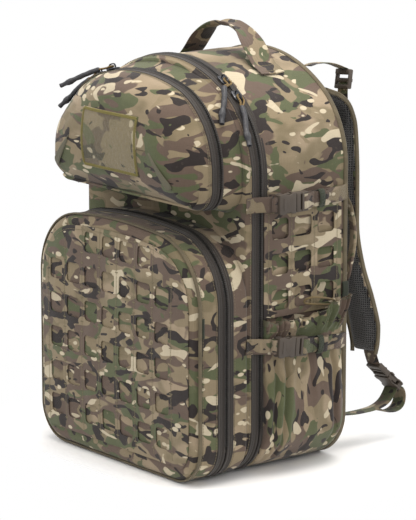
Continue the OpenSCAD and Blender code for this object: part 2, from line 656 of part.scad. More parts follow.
// A ladder lock at the top, and a closed side-release buckle at the lower end
module harness_hardware() color("#4a463c") splay() {
    translate([strap_x_top, back_y + 64, pack_h - 40]) rotate([-12, 0, 0]) difference() {
        block([-14, -lock_t / 2, -lock_h / 2], [14, lock_t / 2, lock_h / 2]);
        for (z = [-6, 3]) block([-11, -lock_t, z], [11, lock_t, z + 3]);
    }
    translate([strap_x_top, back_y + 111, 84]) rotate([45, 0, 0]) {
        difference() {
            block([-15, -buckle_t / 2, -buckle_len / 2], [15, buckle_t / 2, 3]);
            for (s = [-1, 1]) block([s * 14 - 3, -2.5, -14], [s * 14 + 3, 2.5, -4]);
        }
        difference() {
            block([-13.5, -buckle_t / 2 + 1, 3], [13.5, buckle_t / 2 - 1, buckle_len / 2]);
            for (z = [9, 16]) block([-10.5, -buckle_t, z], [10.5, buckle_t, z + 3]);
        }
    }
}
module shoulder_pad_right() shoulder_pad();
module shoulder_pad_left() mirror([1, 0, 0]) shoulder_pad();
module harness_webbing_right() harness_webbing();
module harness_webbing_left() mirror([1, 0, 0]) harness_webbing();
module harness_hardware_right() harness_hardware();
module harness_hardware_left() mirror([1, 0, 0]) harness_hardware();
module lower_webbings() color("#9b8c62") both() splay() strap_band(lower_path, strap_t, harness_w);

base_panel();
main_gusset();
back_panel();
frame_sheet();
frame_stays();
back_pads();
lumbar_pad();
main_tape_rear();
side_grid_right();
side_grid_left();
side_pocket_right();
side_pocket_left();
pocket_cords();
top_handle();
side_handle();
rear_webbings();
lower_webbings();
main_slider_a();
main_slider_b();
main_pull_a();
main_pull_b();
male_upper_right();
male_lower_right();
male_upper_left();
male_lower_left();
tail_upper_right();
tail_lower_right();
tail_upper_left();
tail_lower_left();
door_panel();
main_tape_front();
upper_gusset();
lower_gusset();
pocket_tapes_rear();
front_webbings();
female_buckles();
upper_slider_a();
upper_slider_b();
upper_pull_a();
upper_pull_b();
lower_slider();
lower_pull();
upper_shell();
upper_tape_front();
loop_patch();
lower_shell();
lower_tape_front();
front_grid();
shoulder_pad_right();
harness_webbing_right();
harness_hardware_right();
shoulder_pad_left();
harness_webbing_left();
harness_hardware_left();
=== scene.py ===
import math

import bmesh
import bpy
from mathutils import Matrix, Vector, noise
from mathutils.bvhtree import BVHTree


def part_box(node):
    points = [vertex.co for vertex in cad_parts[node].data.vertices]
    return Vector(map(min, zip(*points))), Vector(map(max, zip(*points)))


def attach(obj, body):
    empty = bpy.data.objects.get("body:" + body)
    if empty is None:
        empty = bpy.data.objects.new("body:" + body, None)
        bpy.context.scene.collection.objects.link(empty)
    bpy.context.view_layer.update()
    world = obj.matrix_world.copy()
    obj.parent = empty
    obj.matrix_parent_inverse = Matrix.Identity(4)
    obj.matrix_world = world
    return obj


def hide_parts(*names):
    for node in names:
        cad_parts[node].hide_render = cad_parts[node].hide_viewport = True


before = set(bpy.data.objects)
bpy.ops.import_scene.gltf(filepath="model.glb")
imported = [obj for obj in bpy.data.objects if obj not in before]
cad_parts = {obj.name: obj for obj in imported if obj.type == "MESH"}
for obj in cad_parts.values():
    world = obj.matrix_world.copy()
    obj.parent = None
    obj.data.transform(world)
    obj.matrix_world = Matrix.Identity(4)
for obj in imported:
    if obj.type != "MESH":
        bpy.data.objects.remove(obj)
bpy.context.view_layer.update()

MM = 0.001
PI = math.pi


# ---- Camera, floor and lights ----
def look(thing, spot):
    thing.rotation_euler = (Vector(spot) - thing.location).to_track_quat("-Z", "Y").to_euler()


def placed(name, data, location):
    thing = bpy.data.objects.new(name, data)
    thing.location = location
    bpy.context.scene.collection.objects.link(thing)
    return thing


camera = placed("camera", bpy.data.cameras.new("camera"), (3.0033, -2.3479, 1.0682))
camera.data.lens = 205.43
camera.data.clip_end = 50
look(camera, (0, 0.028, 0.250))
bpy.context.scene.camera = camera


def soft_light(name, location, spot, size, power, tint=(1, 1, 1)):
    lamp = bpy.data.lights.new(name, "AREA")
    lamp.shape = "RECTANGLE"
    lamp.size, lamp.size_y = size
    lamp.energy = power
    lamp.color = tint
    look(placed(name, lamp, location), spot)


soft_light("key", (-0.9, -3.0, 2.9), (0, 0, 0.3), (1.6, 1.2), 31, (1, 0.94, 0.87))
soft_light("side_box", (3.4, 0.9, 2.4), (0, 0, 0.3), (1.4, 1.4), 24, (1, 0.94, 0.87))
soft_light("overhead", (0.3, 0.2, 3.2), (0, 0, 0), (2.2, 2.2), 100, (1, 0.95, 0.89))
soft_light("rim", (0.8, 3.0, 1.8), (0, 0, 0.4), (1.4, 1.4), 14)
world = bpy.data.worlds.new("studio")
bpy.context.scene.world = world
world.use_nodes = True
world.node_tree.nodes["Background"].inputs["Color"].default_value = (1, 1, 1, 1)
world.node_tree.nodes["Background"].inputs["Strength"].default_value = 1.0
bpy.context.scene.view_settings.view_transform = "Standard"


# ---- Finishes ----
class Value:
    """A number on its way through a finish's nodes, so that its maths reads as plain expressions."""

    def __init__(self, finish, socket):
        self.finish, self.socket = finish, socket

    def maths(self, operation, a, b=0.0):
        return self.finish.node("ShaderNodeMath", {"operation": operation}, {0: a, 1: b})

    def __add__(self, other): return self.maths("ADD", self, other)
    def __radd__(self, other): return self.maths("ADD", other, self)
    def __sub__(self, other): return self.maths("SUBTRACT", self, other)
    def __rsub__(self, other): return self.maths("SUBTRACT", other, self)
    def __mul__(self, other): return self.maths("MULTIPLY", self, other)
    def __rmul__(self, other): return self.maths("MULTIPLY", other, self)
    def __pow__(self, other): return self.maths("POWER", self, other)
    def sine(self): return self.maths("SINE", self)
    def size(self): return self.maths("ABSOLUTE", self)
    def at_least(self, low): return self.maths("MAXIMUM", self, low)

    def ramp(self, low, high):
        """0 below low, 1 above high, and smooth between."""
        return self.finish.node("ShaderNodeMapRange", {"interpolation_type": "SMOOTHSTEP"},
                                {"Value": self, "From Min": low, "From Max": high}, "Result")


class Finish:
    """One surface finish: a shader, and the nodes that feed it."""

    def __init__(self, name):
        self.material = bpy.data.materials.new(name)
        self.material.use_nodes = True
        self.tree = self.material.node_tree
        self.shader = self.tree.nodes["Principled BSDF"]

    def node(self, kind, settings=None, values=None, output=0):
        """Adds a node, sets it up, gives its sockets their values or links, and returns one output."""
        made = self.tree.nodes.new(kind)
        for key, setting in (settings or {}).items():
            setattr(made, key, setting)
        for key, value in (values or {}).items():
            self.feed(made.inputs[key], value)
        return Value(self, made.outputs[output])

    def feed(self, socket, value):
        if isinstance(value, Value):
            self.tree.links.new(value.socket, socket)
        elif isinstance(value, tuple) and socket.type == "RGBA":
            socket.default_value = (*value, 1)
        else:
            socket.default_value = value

    def set(self, **values):
        for key, value in values.items():
            self.feed(self.shader.inputs[key.replace("_", " ")], value)
        return self

    def place(self, scale=(1, 1, 1), shift=(0, 0, 0), own_map=False):
        """The surface's own coordinates, in metres, or its cloth map."""
        source = self.node("ShaderNodeTexCoord", output="UV" if own_map else "Object")
        return self.node("ShaderNodeMapping", None, {"Vector": source, "Scale": scale, "Location": shift})

    def shift(self, at, amount):
        """The same coordinates moved, so that a second pattern doesn't follow the first."""
        step = (amount, amount * 0.7, -amount)
        return self.node("ShaderNodeVectorMath", {"operation": "ADD"}, {0: at, 1: step})

    def axes(self, vector):
        split = self.node("ShaderNodeSeparateXYZ", None, {0: vector})
        return [Value(self, output) for output in split.socket.node.outputs]

    def cloud(self, vector, scale, detail=2.0, rough=0.5, warp=0.0):
        return self.node("ShaderNodeTexNoise", None, {"Vector": vector, "Scale": scale, "Detail": detail,
                                                     "Roughness": rough, "Distortion": warp}, "Fac")

    def mix(self, a, b, share, way="MIX"):
        return self.node("ShaderNodeMix", {"data_type": "RGBA", "blend_type": way}, {0: share, 6: a, 7: b}, 2)

    def shade(self, colour, level):
        """The colour made lighter or darker by a number about 1."""
        grey = self.node("ShaderNodeCombineColor", None, {0: level, 1: level, 2: level})
        return self.mix(colour, grey, 1.0, "MULTIPLY")

    def relief(self, height, depth, strength=1.0, under=None):
        values = {"Height": height, "Distance": depth, "Strength": strength}
        if under is not None:
            values["Normal"] = under
        return self.node("ShaderNodeBump", None, values)


TAN, SAND, PALE = (0.285, 0.220, 0.146), (0.205, 0.160, 0.097), (0.46, 0.395, 0.28)
OLIVE, GREEN, BROWN = (0.142, 0.113, 0.063), (0.072, 0.083, 0.038), (0.092, 0.062, 0.047)
TWIG = (0.020, 0.0145, 0.013)


def printed(finish, at):
    """Soft woodland print: clouded tan and sand, brown and green drifts, dark twigs and pale drops."""
    ground = finish.mix(TAN, SAND, finish.cloud(at, 8.0, 1.5).ramp(0.40, 0.60))
    ground = finish.mix(ground, OLIVE, finish.cloud(at, 14.0, 2.0, 0.45, 0.4).ramp(0.45, 0.60) * 0.8)
    drift = finish.cloud(finish.shift(at, 3.1), 12.5, 1.8, 0.45, 0.6)
    ground = finish.mix(ground, BROWN, drift.ramp(0.478, 0.492) * 0.94)
    leaf = finish.cloud(finish.shift(at, 7.7), 17.0, 1.8, 0.45, 0.8)
    ground = finish.mix(ground, GREEN, leaf.ramp(0.560, 0.575) * 0.95)
    patch = finish.cloud(finish.shift(at, 12.4), 21.0, 1.6, 0.4, 0.6)
    ground = finish.mix(ground, SAND, patch.ramp(0.590, 0.605))
    twig = finish.cloud(finish.shift(at, 20.9), 27.0, 1.5, 0.35, 0.9)
    ground = finish.mix(ground, TWIG, twig.ramp(0.588, 0.598))
    wash = finish.cloud(finish.shift(at, 26.3), 23.0, 1.6, 0.4, 0.7)
    ground = finish.mix(ground, PALE, wash.ramp(0.652, 0.664) * 0.9)
    drops = finish.node("ShaderNodeTexVoronoi", {"voronoi_dimensions": "3D"},
                        {"Vector": finish.shift(at, 31.0), "Scale": 38.0, "Randomness": 1.0}, "Distance")
    rare = finish.cloud(finish.shift(at, 40.0), 15.0, 1.0)
    return finish.mix(ground, PALE, (1 - drops.ramp(0.22, 0.26)) * rare.ramp(0.54, 0.55))


def cloth(name, shift=(0, 0, 0), stretch=(1, 1, 2.0), laminated=False, fold=1.0):
    """Printed pack cloth, with its weave, slubs, rubbed edges and slight creases, and painted shade in the
    creases.
    """
    finish = Finish(name)
    at = finish.place(stretch, shift)
    x, y, z = finish.axes(finish.place())
    across, up = x + y, z + y * 0.7
    weave = ((across * 5200).sine() * (up * 5200).sine()) * 0.5 + 0.5
    slub = finish.cloud(finish.place((900, 900, 60)), 1.0, 2.0)
    slub = slub * 0.6 + finish.cloud(finish.place((60, 60, 900)), 1.0, 2.0) * 0.4
    crease = finish.cloud(finish.place((1, 1, 0.8)), 26.0, 4.0, 0.55, 0.3)
    wear = finish.cloud(finish.place(), 120.0, 4.0, 0.6)
    # crease * 0.10 lightens the crease ridges and darkens their hollows, using the same cloud as the crease
    # relief: painted shade in the creases.
    colour = finish.shade(printed(finish, at), slub * 0.42 + 0.74 + crease * 0.10 + weave * 0.06)
    rubbed = wear.ramp(0.60, 0.78) * 0.16
    colour = finish.mix(colour, (0.25, 0.21, 0.15), rubbed)
    base = finish.relief(crease, 0.0035 * fold, 0.35)
    depth = 0.00010 if laminated else 0.00022
    finish.set(Base_Color=colour, Roughness=(wear * 0.10 + (0.66 if laminated else 0.80)),
               Normal=finish.relief(weave + slub * 0.8, depth, 0.6, base), Specular_IOR_Level=0.25,
               Sheen_Weight=0.12, Sheen_Roughness=0.5)
    return finish.material


def webbing_finish(name, shift=(0, 0, 0), tint=None):
    """Ribbed webbing with printed or plain colour: its map runs along in metres, and 0 to 1 across."""
    finish = Finish(name)
    along, across, _ = finish.axes(finish.place(own_map=True))
    rib = (along * 3600).sine() * 0.5 + 0.5
    cord = (across * 50).sine() * 0.5 + 0.5
    fuzz = finish.cloud(finish.place((700, 700, 700)), 1.0, 3.0)
    ground = printed(finish, finish.place((1.3, 1.3, 1.9), shift)) if tint is None else \
        finish.mix(tint, tuple(c * 1.35 for c in tint), finish.cloud(finish.place(), 60.0).ramp(0.3, 0.7))
    edge = (across - 0.5).size().ramp(0.43, 0.47)
    colour = finish.shade(ground, rib * 0.16 + fuzz * 0.24 + 0.80 - edge * 0.08)
    finish.set(Base_Color=colour, Roughness=fuzz * 0.15 + 0.70,
               Normal=finish.relief(rib * 0.7 + cord * 0.5 + fuzz * 0.5, 0.00035, 0.8),
               Specular_IOR_Level=0.3, Sheen_Weight=0.1)
    return finish.material


def tape_finish():
    """Zip tape: close twill in a warm dark grey, a little dusty."""
    finish = Finish("zip_tape_twill")
    x, y, z = finish.axes(finish.place())
    twill = ((x + z) * 3000 + y * 4200).sine() * 0.5 + 0.5
    fuzz = finish.cloud(finish.place(), 500.0, 3.0)
    colour = finish.mix((0.016, 0.013, 0.011), (0.040, 0.032, 0.027), fuzz * 0.7 + twill * 0.3)
    finish.set(Base_Color=colour, Roughness=fuzz * 0.2 + 0.62, Specular_IOR_Level=0.3,
               Normal=finish.relief(twill + fuzz, 0.0002, 0.6), Sheen_Weight=0.15)
    return finish.material


def teeth_finish():
    finish = Finish("zip_coil_nylon")
    rub = finish.cloud(finish.place(), 260.0, 3.0)
    finish.set(Base_Color=finish.mix((0.012, 0.011, 0.010), (0.042, 0.038, 0.034), rub.ramp(0.4, 0.75)),
               Roughness=rub * 0.25 + 0.28, Normal=finish.relief(rub, 0.00008, 0.4), Specular_IOR_Level=0.5)
    return finish.material


def moulded_finish(name, low, high):
    """Moulded plastic: fine spark-eroded grain and faint flow marks."""
    finish = Finish(name)
    grain = finish.cloud(finish.place(), 1600.0, 2.0)
    flow = finish.cloud(finish.place((1, 1, 3)), 55.0, 3.0, 0.6, 0.6)
    colour = finish.mix(low, high, flow * 0.7 + grain * 0.3)
    finish.set(Base_Color=colour, Roughness=grain * 0.18 + flow * 0.12 + 0.36, Specular_IOR_Level=0.4,
               Normal=finish.relief(grain, 0.00006, 0.5, finish.relief(flow, 0.0003, 0.3)))
    return finish.material


def metal_finish():
    finish = Finish("blackened_zinc")
    rub = finish.cloud(finish.place(), 180.0, 4.0, 0.6)
    finish.set(Base_Color=finish.mix((0.050, 0.052, 0.058), (0.22, 0.22, 0.23), rub.ramp(0.52, 0.80)),
               Metallic=0.85, Roughness=rub * 0.3 + 0.22, Normal=finish.relief(rub, 0.0001, 0.5))
    return finish.material


def sleeve_finish():
    """Heat-shrunk tube: dull blue-black, with small puckers from the shrinking."""
    finish = Finish("shrunk_sleeve")
    pucker = finish.cloud(finish.place((1, 1, 0.4)), 130.0, 3.0, 0.5, 0.8)
    dust = finish.cloud(finish.place(), 420.0, 3.0)
    finish.set(Base_Color=finish.mix((0.014, 0.014, 0.017), (0.040, 0.040, 0.047), dust.ramp(0.35, 0.8)),
               Roughness=dust * 0.25 + 0.36, Specular_IOR_Level=0.5,
               Normal=finish.relief(pucker, 0.0022, 0.6))
    return finish.material


def cord_finish(name, low, high):
    """Braided cord: its map runs along and round it, in metres and turns."""
    finish = Finish(name)
    along, turn, _ = finish.axes(finish.place(own_map=True))
    braid = (along * 2600 + turn * 37.7).sine() * (along * 2600 - turn * 37.7).sine()
    fleck = finish.cloud(finish.place(), 700.0, 2.0)
    finish.set(Base_Color=finish.mix(low, high, braid * 0.35 + fleck * 0.4 + 0.3),
               Roughness=fleck * 0.2 + 0.6, Normal=finish.relief(braid, 0.0004, 0.7), Sheen_Weight=0.1)
    return finish.material


def mesh_finish():
    """Spacer mesh: a honeycomb of open eyes, painted near-black as the shade inside them."""
    finish = Finish("spacer_mesh")
    x, y, z = finish.axes(finish.place())
    flat = finish.node("ShaderNodeCombineXYZ", None, {0: x + y * 0.5, 1: 0.0, 2: z})
    eye = finish.node("ShaderNodeTexVoronoi", {"feature": "DISTANCE_TO_EDGE"},
                      {"Vector": flat, "Scale": 330.0, "Randomness": 0.25}, "Distance")
    rib = 1 - eye.ramp(0.10, 0.26)
    fuzz = finish.cloud(finish.place(), 900.0, 2.0)
    # The eyes take the near-black colour, which is painted shade in the mesh's holes; the ribs carry the mesh's
    # own dark grey.
    colour = finish.mix((0.012, 0.012, 0.013), (0.115, 0.112, 0.110), rib * (fuzz * 0.5 + 0.7))
    finish.set(Base_Color=colour, Roughness=fuzz * 0.2 + 0.70, Normal=finish.relief(rib, 0.0012, 0.8),
               Sheen_Weight=0.15, Specular_IOR_Level=0.3)
    return finish.material


def pile_finish():
    """Loop pile, printed in the same colours as the cloth but yellower."""
    finish = Finish("loop_pile")
    curl = finish.cloud(finish.place(), 1100.0, 3.0, 0.65)
    clump = finish.cloud(finish.place(), 240.0, 3.0)
    print_at = finish.place((1.1, 1.1, 1.3), (0.93, 0.3, 0.11))
    ground = finish.mix(printed(finish, print_at), (0.17, 0.145, 0.035), 0.24)
    finish.set(Base_Color=finish.shade(ground, curl * 0.6 + clump * 0.3 + 0.42), Roughness=curl * 0.1 + 0.85,
               Normal=finish.relief(curl + clump, 0.0012, 0.8), Sheen_Weight=0.3, Specular_IOR_Level=0.15)
    return finish.material


def thread_finish(name, low, high):
    finish = Finish(name)
    twist = finish.cloud(finish.place(), 1500.0, 2.0)
    finish.set(Base_Color=finish.mix(low, high, twist.ramp(0.3, 0.7)), Roughness=twist * 0.2 + 0.6,
               Normal=finish.relief(twist, 0.0001, 0.5))
    return finish.material


def lining_finish():
    """Coated inner face of the cloth: plain olive drab with a dull film and a small check."""
    finish = Finish("coated_lining")
    x, y, z = finish.axes(finish.place())
    check = (((x + y) * 1250).sine().size() ** 14 + (z * 1250).sine().size() ** 14) * 0.5
    film = finish.cloud(finish.place(), 45.0, 4.0)
    finish.set(Base_Color=finish.mix((0.070, 0.062, 0.036), (0.110, 0.100, 0.060), film * 0.7 + check * 0.4),
               Roughness=film * 0.25 + 0.45, Normal=finish.relief(check * 0.6 + film, 0.0007, 0.4))
    return finish.material


def sheet_finish():
    finish = Finish("stiffener_sheet")
    scuff = finish.cloud(finish.place((1, 1, 6)), 70.0, 5.0, 0.65)
    finish.set(Base_Color=finish.mix((0.018, 0.018, 0.019), (0.05, 0.05, 0.052), scuff.ramp(0.4, 0.8)),
               Roughness=scuff * 0.3 + 0.35, Normal=finish.relief(scuff, 0.0004, 0.4))
    return finish.material


def stay_finish():
    finish = Finish("mill_aluminium")
    draw = finish.cloud(finish.place((900, 900, 6)), 1.0, 3.0)
    finish.set(Base_Color=finish.mix((0.26, 0.265, 0.275), (0.40, 0.405, 0.415), draw), Metallic=0.9,
               Roughness=draw * 0.2 + 0.42, Normal=finish.relief(draw, 0.0001, 0.5))
    return finish.material


def floor_finish():
    """Pale floor that fades out round the pack's foot, so that the door shows when it hangs open below it."""
    finish = Finish("pale_floor")
    mottle = finish.cloud(finish.place(), 1.2, 3.0)
    x, y, _ = finish.axes(finish.place())
    past_side = (x.size() - 0.17).at_least(0)
    past_front = (-0.125 - y).at_least(0) * 2.6
    past_back = (y - 0.15).at_least(0)
    away = (past_side ** 2 + past_front ** 2 + past_back ** 2) ** 0.5
    finish.set(Base_Color=finish.mix((0.86, 0.86, 0.86), (0.90, 0.90, 0.90), mottle), Roughness=0.7,
               Alpha=1 - away.ramp(0.02, 0.17))
    return finish.material


BODY_CLOTH = cloth("printed_cloth_body", (0.30, 0.10, 0.45))
DOOR_CLOTH = cloth("printed_cloth_door", (0.75, 0.40, 0.20))
UPPER_CLOTH = cloth("printed_cloth_upper", (1.35, 0.20, 0.90))
LOWER_CLOTH = cloth("printed_cloth_lower", (2.10, 0.65, 1.35))
POCKET_CLOTH = cloth("printed_cloth_pocket", (3.40, 1.10, 0.75), (1.7, 1.7, 1.0), fold=1.3)
STRAP_CLOTH = cloth("printed_cloth_strap", (4.20, 0.35, 0.60))
LAMINATE = cloth("printed_laminate", (2.75, 1.55, 1.90), laminated=True, fold=0.3)
BINDING = webbing_finish("binding_tape", tint=(0.088, 0.070, 0.040))
WEBBING = webbing_finish("printed_webbing", (0.6, 0.9, 0.2))
TAPE, TEETH = tape_finish(), teeth_finish()
PLASTIC = moulded_finish("buckle_plastic", (0.048, 0.037, 0.028), (0.074, 0.058, 0.045))
METAL, SLEEVE = metal_finish(), sleeve_finish()
PULL_CORD = cord_finish("pull_cord_braid", (0.120, 0.068, 0.014), (0.26, 0.165, 0.040))
ELASTIC_CORD = cord_finish("elastic_cord_braid", (0.090, 0.058, 0.018), (0.200, 0.138, 0.046))
ELASTIC = webbing_finish("keeper_elastic", tint=(0.022, 0.028, 0.013))
TAB = webbing_finish("tab_ribbon", tint=(0.014, 0.018, 0.009))
MESH, PILE, LINING = mesh_finish(), pile_finish(), lining_finish()
THREAD = thread_finish("tan_thread", (0.120, 0.098, 0.056), (0.215, 0.180, 0.108))
GOLD_THREAD = thread_finish("gold_thread", (0.130, 0.108, 0.028), (0.240, 0.205, 0.060))
DARK_THREAD = thread_finish("dark_thread", (0.030, 0.025, 0.020), (0.064, 0.054, 0.042))


# ---- Making pieces ----
def piece(name, bm, body, slot, *finishes, crease=38, stands_for=()):
    """Turns a mesh under work into a finished piece that moves with its body."""
    bm.normal_update()
    for face in bm.faces:
        face.smooth = True
    for edge in bm.edges:
        edge.smooth = edge.calc_face_angle(0.0) < math.radians(crease)
    mesh = bpy.data.meshes.new(name)
    bm.to_mesh(mesh)
    bm.free()
    for finish in finishes:
        mesh.materials.append(finish)
    made = placed(name, mesh, (0, 0, 0))
    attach(made, body)
    if stands_for:
        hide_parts(*stands_for)
    return made


def walled(made, thickness):
    """Gives an open cloth shell its thickness, with the second finish on the inner side."""
    wall = made.modifiers.new("cloth_thickness", "SOLIDIFY")
    wall.thickness, wall.offset = thickness, -1
    wall.material_offset = 1 if len(made.data.materials) > 1 else 0
    return made


def lofted(nu, nv, spot, along=1.0, up=1.0, seam=False):
    """A grid laid over a surface: spot(u, v) gives each point, with u and v from 0 to 1."""
    bm = bmesh.new()
    cloth_map = bm.loops.layers.uv.new("cloth_map")
    bmesh.ops.create_grid(bm, x_segments=nu, y_segments=nv, size=0.5)
    for face in bm.faces:
        for loop in face.loops:
            loop[cloth_map].uv = ((loop.vert.co.x + 0.5) * along, (loop.vert.co.y + 0.5) * up)
    for vert in bm.verts:
        vert.co = spot(vert.co.x + 0.5, vert.co.y + 0.5)
    if seam:
        bmesh.ops.remove_doubles(bm, verts=bm.verts, dist=2e-6)
    return bm


def joined(*parts):
    """Several meshes under work as one."""
    bm = bmesh.new()
    bm.loops.layers.uv.new("cloth_map")
    for part in parts:
        mesh = bpy.data.meshes.new("part")
        part.to_mesh(mesh)
        part.free()
        bm.from_mesh(mesh)
        bpy.data.meshes.remove(mesh)
    return bm


def copied(bm, matrix=None, flipped=False):
    other = bm.copy()
    if flipped:
        bmesh.ops.scale(other, vec=(-1, 1, 1), verts=other.verts)
        bmesh.ops.reverse_faces(other, faces=other.faces)
    if matrix is not None:
        bmesh.ops.transform(other, matrix=matrix, verts=other.verts)
    return other


def curve_through(points, steps):
    """Evenly stepped points on a smooth curve through the given ones."""
    points = [Vector(p) for p in points]
    ends = [2 * points[0] - points[1], *points, 2 * points[-1] - points[-2]]
    fine = []
    for a, b, c, d in zip(ends, ends[1:], ends[2:], ends[3:]):
        for i in range(16):
            t = i / 16
            fine.append(0.5 * (2 * b + (c - a) * t + (2 * a - 5 * b + 4 * c - d) * t * t
                               + (3 * b - a - 3 * c + d) * t ** 3))
    fine.append(points[-1])
    marks = [0.0]
    for a, b in zip(fine, fine[1:]):
        marks.append(marks[-1] + (b - a).length)
    path, k = [], 0
    for i in range(steps + 1):
        goal = marks[-1] * i / steps
        while k < len(marks) - 2 and marks[k + 1] < goal:
            k += 1
        share = (goal - marks[k]) / max(marks[k + 1] - marks[k], 1e-9)
        path.append(fine[k].lerp(fine[k + 1], min(max(share, 0), 1)))
    return path


def length_of(path):
    return sum((b - a).length for a, b in zip(path, path[1:]))


def level_at(table, x):
    """Reads a table of (x, value) with smooth steps between."""
    for (x0, v0), (x1, v1) in zip(table, table[1:]):
        if x <= x1:
            t = min(max((x - x0) / (x1 - x0), 0), 1)
            return v0 + (v1 - v0) * t * t * (3 - 2 * t)
    return table[-1][1]


def swept(path, section, across, closed=False):
    """A closed section carried along a path: section(share) gives (across, out) points."""
    count = len(path) - 1
    total = length_of(path)
    rings = []
    for i, here in enumerate(path):
        before = path[i - 1] if i or closed else here
        after = path[(i + 1) % len(path)] if i < count or closed else here
        if closed and i in (0, count):
            before, after = path[-2], path[1]
        run = (after - before).normalized()
        wide = (across[i] if isinstance(across, list) else Vector(across)).normalized()
        wide = (wide - run * wide.dot(run)).normalized()
        out = run.cross(wide)
        rings.append([(here + wide * a + out * o, a) for a, o in section(i / count)])
    sides = len(rings[0])
    span = max(a for _, a in rings[0]) * 2
    bm = lofted(count, sides, lambda u, v: rings[round(u * count)][round(v * sides) % sides][0])
    cloth_map = bm.loops.layers.uv.active
    index = {}
    for i, ring in enumerate(rings):
        for spot, a in ring:
            index.setdefault(tuple(round(c, 6) for c in spot), (total * i / count, a / span + 0.5))
    for face in bm.faces:
        for loop in face.loops:
            loop[cloth_map].uv = index.get(tuple(round(c, 6) for c in loop.vert.co), (0, 0.5))
    bmesh.ops.remove_doubles(bm, verts=bm.verts, dist=1e-6)
    bmesh.ops.holes_fill(bm, edges=[e for e in bm.edges if e.is_boundary], sides=0)
    bmesh.ops.recalc_face_normals(bm, faces=bm.faces)
    return bm


def flat_band(width, thick, steps=8):
    """Section of a webbing band, with softened edges."""
    a, t = width / 2, thick / 2
    top = [(a * (1 - 2 * i / steps), t) for i in range(1, steps)]
    return [(a, -t * 0.3), (a, t * 0.3), *top, (-a, t * 0.3), (-a, -t * 0.3), *[(-x, -z) for x, z in top]]


def round_cord(radius, sides=10):
    turns = [2 * PI * i / sides for i in range(sides)]
    return [(radius * math.cos(turn), radius * math.sin(turn)) for turn in turns]


def ripple(spot, scale, seed=0.0):
    return noise.noise(Vector(spot) * scale + Vector((seed, seed * 0.7, -seed)))


def frame_of(origin, x_axis, z_axis):
    """A placing whose x and z follow two directions."""
    x = Vector(x_axis).normalized()
    z = Vector(z_axis)
    z = (z - x * z.dot(x)).normalized()
    y = z.cross(x)
    turn = Matrix((x, y, z)).transposed().to_4x4()
    turn.translation = origin
    return turn


def block(bm, size, matrix, round_by=0.0, segments=2):
    """A rounded block of that size, about its middle, placed by a matrix."""
    made = bmesh.ops.create_cube(bm, size=1.0, matrix=matrix @ Matrix.Diagonal((*size, 1)))["verts"]
    if round_by:
        edges = list({edge for vert in made for edge in vert.link_edges})
        bmesh.ops.bevel(bm, geom=edges, offset=round_by, segments=segments, profile=0.5, affect="EDGES",
                        material=-1)


def raise_by(bm, faces, height):
    """Gives flat faces a height, as an extruded solid with its faces outwards."""
    raised = bmesh.ops.extrude_face_region(bm, geom=faces)["geom"]
    tops = [v for v in raised if isinstance(v, bmesh.types.BMVert)]
    bmesh.ops.translate(bm, vec=(0, 0, height), verts=tops)
    bmesh.ops.recalc_face_normals(bm, faces=bm.faces)


def plate(points, low, high, round_by):
    """A moulded plate: an outline in x and y, raised from low to high, with its edges rounded."""
    bm = bmesh.new()
    bm.loops.layers.uv.new("cloth_map")
    face = bm.faces.new([bm.verts.new((x, y, low)) for x, y in points])
    raise_by(bm, [face], high - low)
    rims = [e for e in bm.edges if e.calc_face_angle(0.0) > 0.5]
    bmesh.ops.bevel(bm, geom=rims, offset=round_by, segments=2, profile=0.5, affect="EDGES", material=-1,
                    clamp_overlap=True)
    return bm


stitch_work = {}
# Kinds of stitching: the pitch, then one stitch's length, width and height
SEAM_ROW = 0.0040, (0.0029, 0.0007, 0.0005)
TAPE_ROW = 0.0034, (0.0025, 0.0007, 0.0005)
ZIGZAG = 0.0017, (0.0019, 0.0009, 0.0005)
HANDLE_ROW = 0.0024, (0.0018, 0.0009, 0.0006)


def stitches(body, thread, spot, length, pitch=0.0036, size=(0.0026, 0.0008, 0.0006), cross=False):
    """A row of stitches: spot(distance) gives the point and the surface's normal there."""
    bm = stitch_work.setdefault((body, thread.name), (bmesh.new(), thread))[0]
    for i in range(int(length / pitch)):
        d = (i + 0.5) * pitch
        here, normal = spot(d)
        run = spot(d + 0.0008)[0] - spot(d - 0.0008)[0]
        if run.length < 1e-7:
            continue
        placing = frame_of(here + normal * size[2] * 0.25, run, normal)
        if cross:
            placing = placing @ Matrix.Rotation(PI / 2, 4, "Z")
        verts = bmesh.ops.create_cube(bm, size=1.0, matrix=placing @ Matrix.Diagonal((*size, 1)))["verts"]
        for vert in verts:
            local = placing.inverted() @ vert.co
            if local.z > 0:
                vert.co = placing @ Vector((local.x * 0.7, local.y * 0.5, local.z))


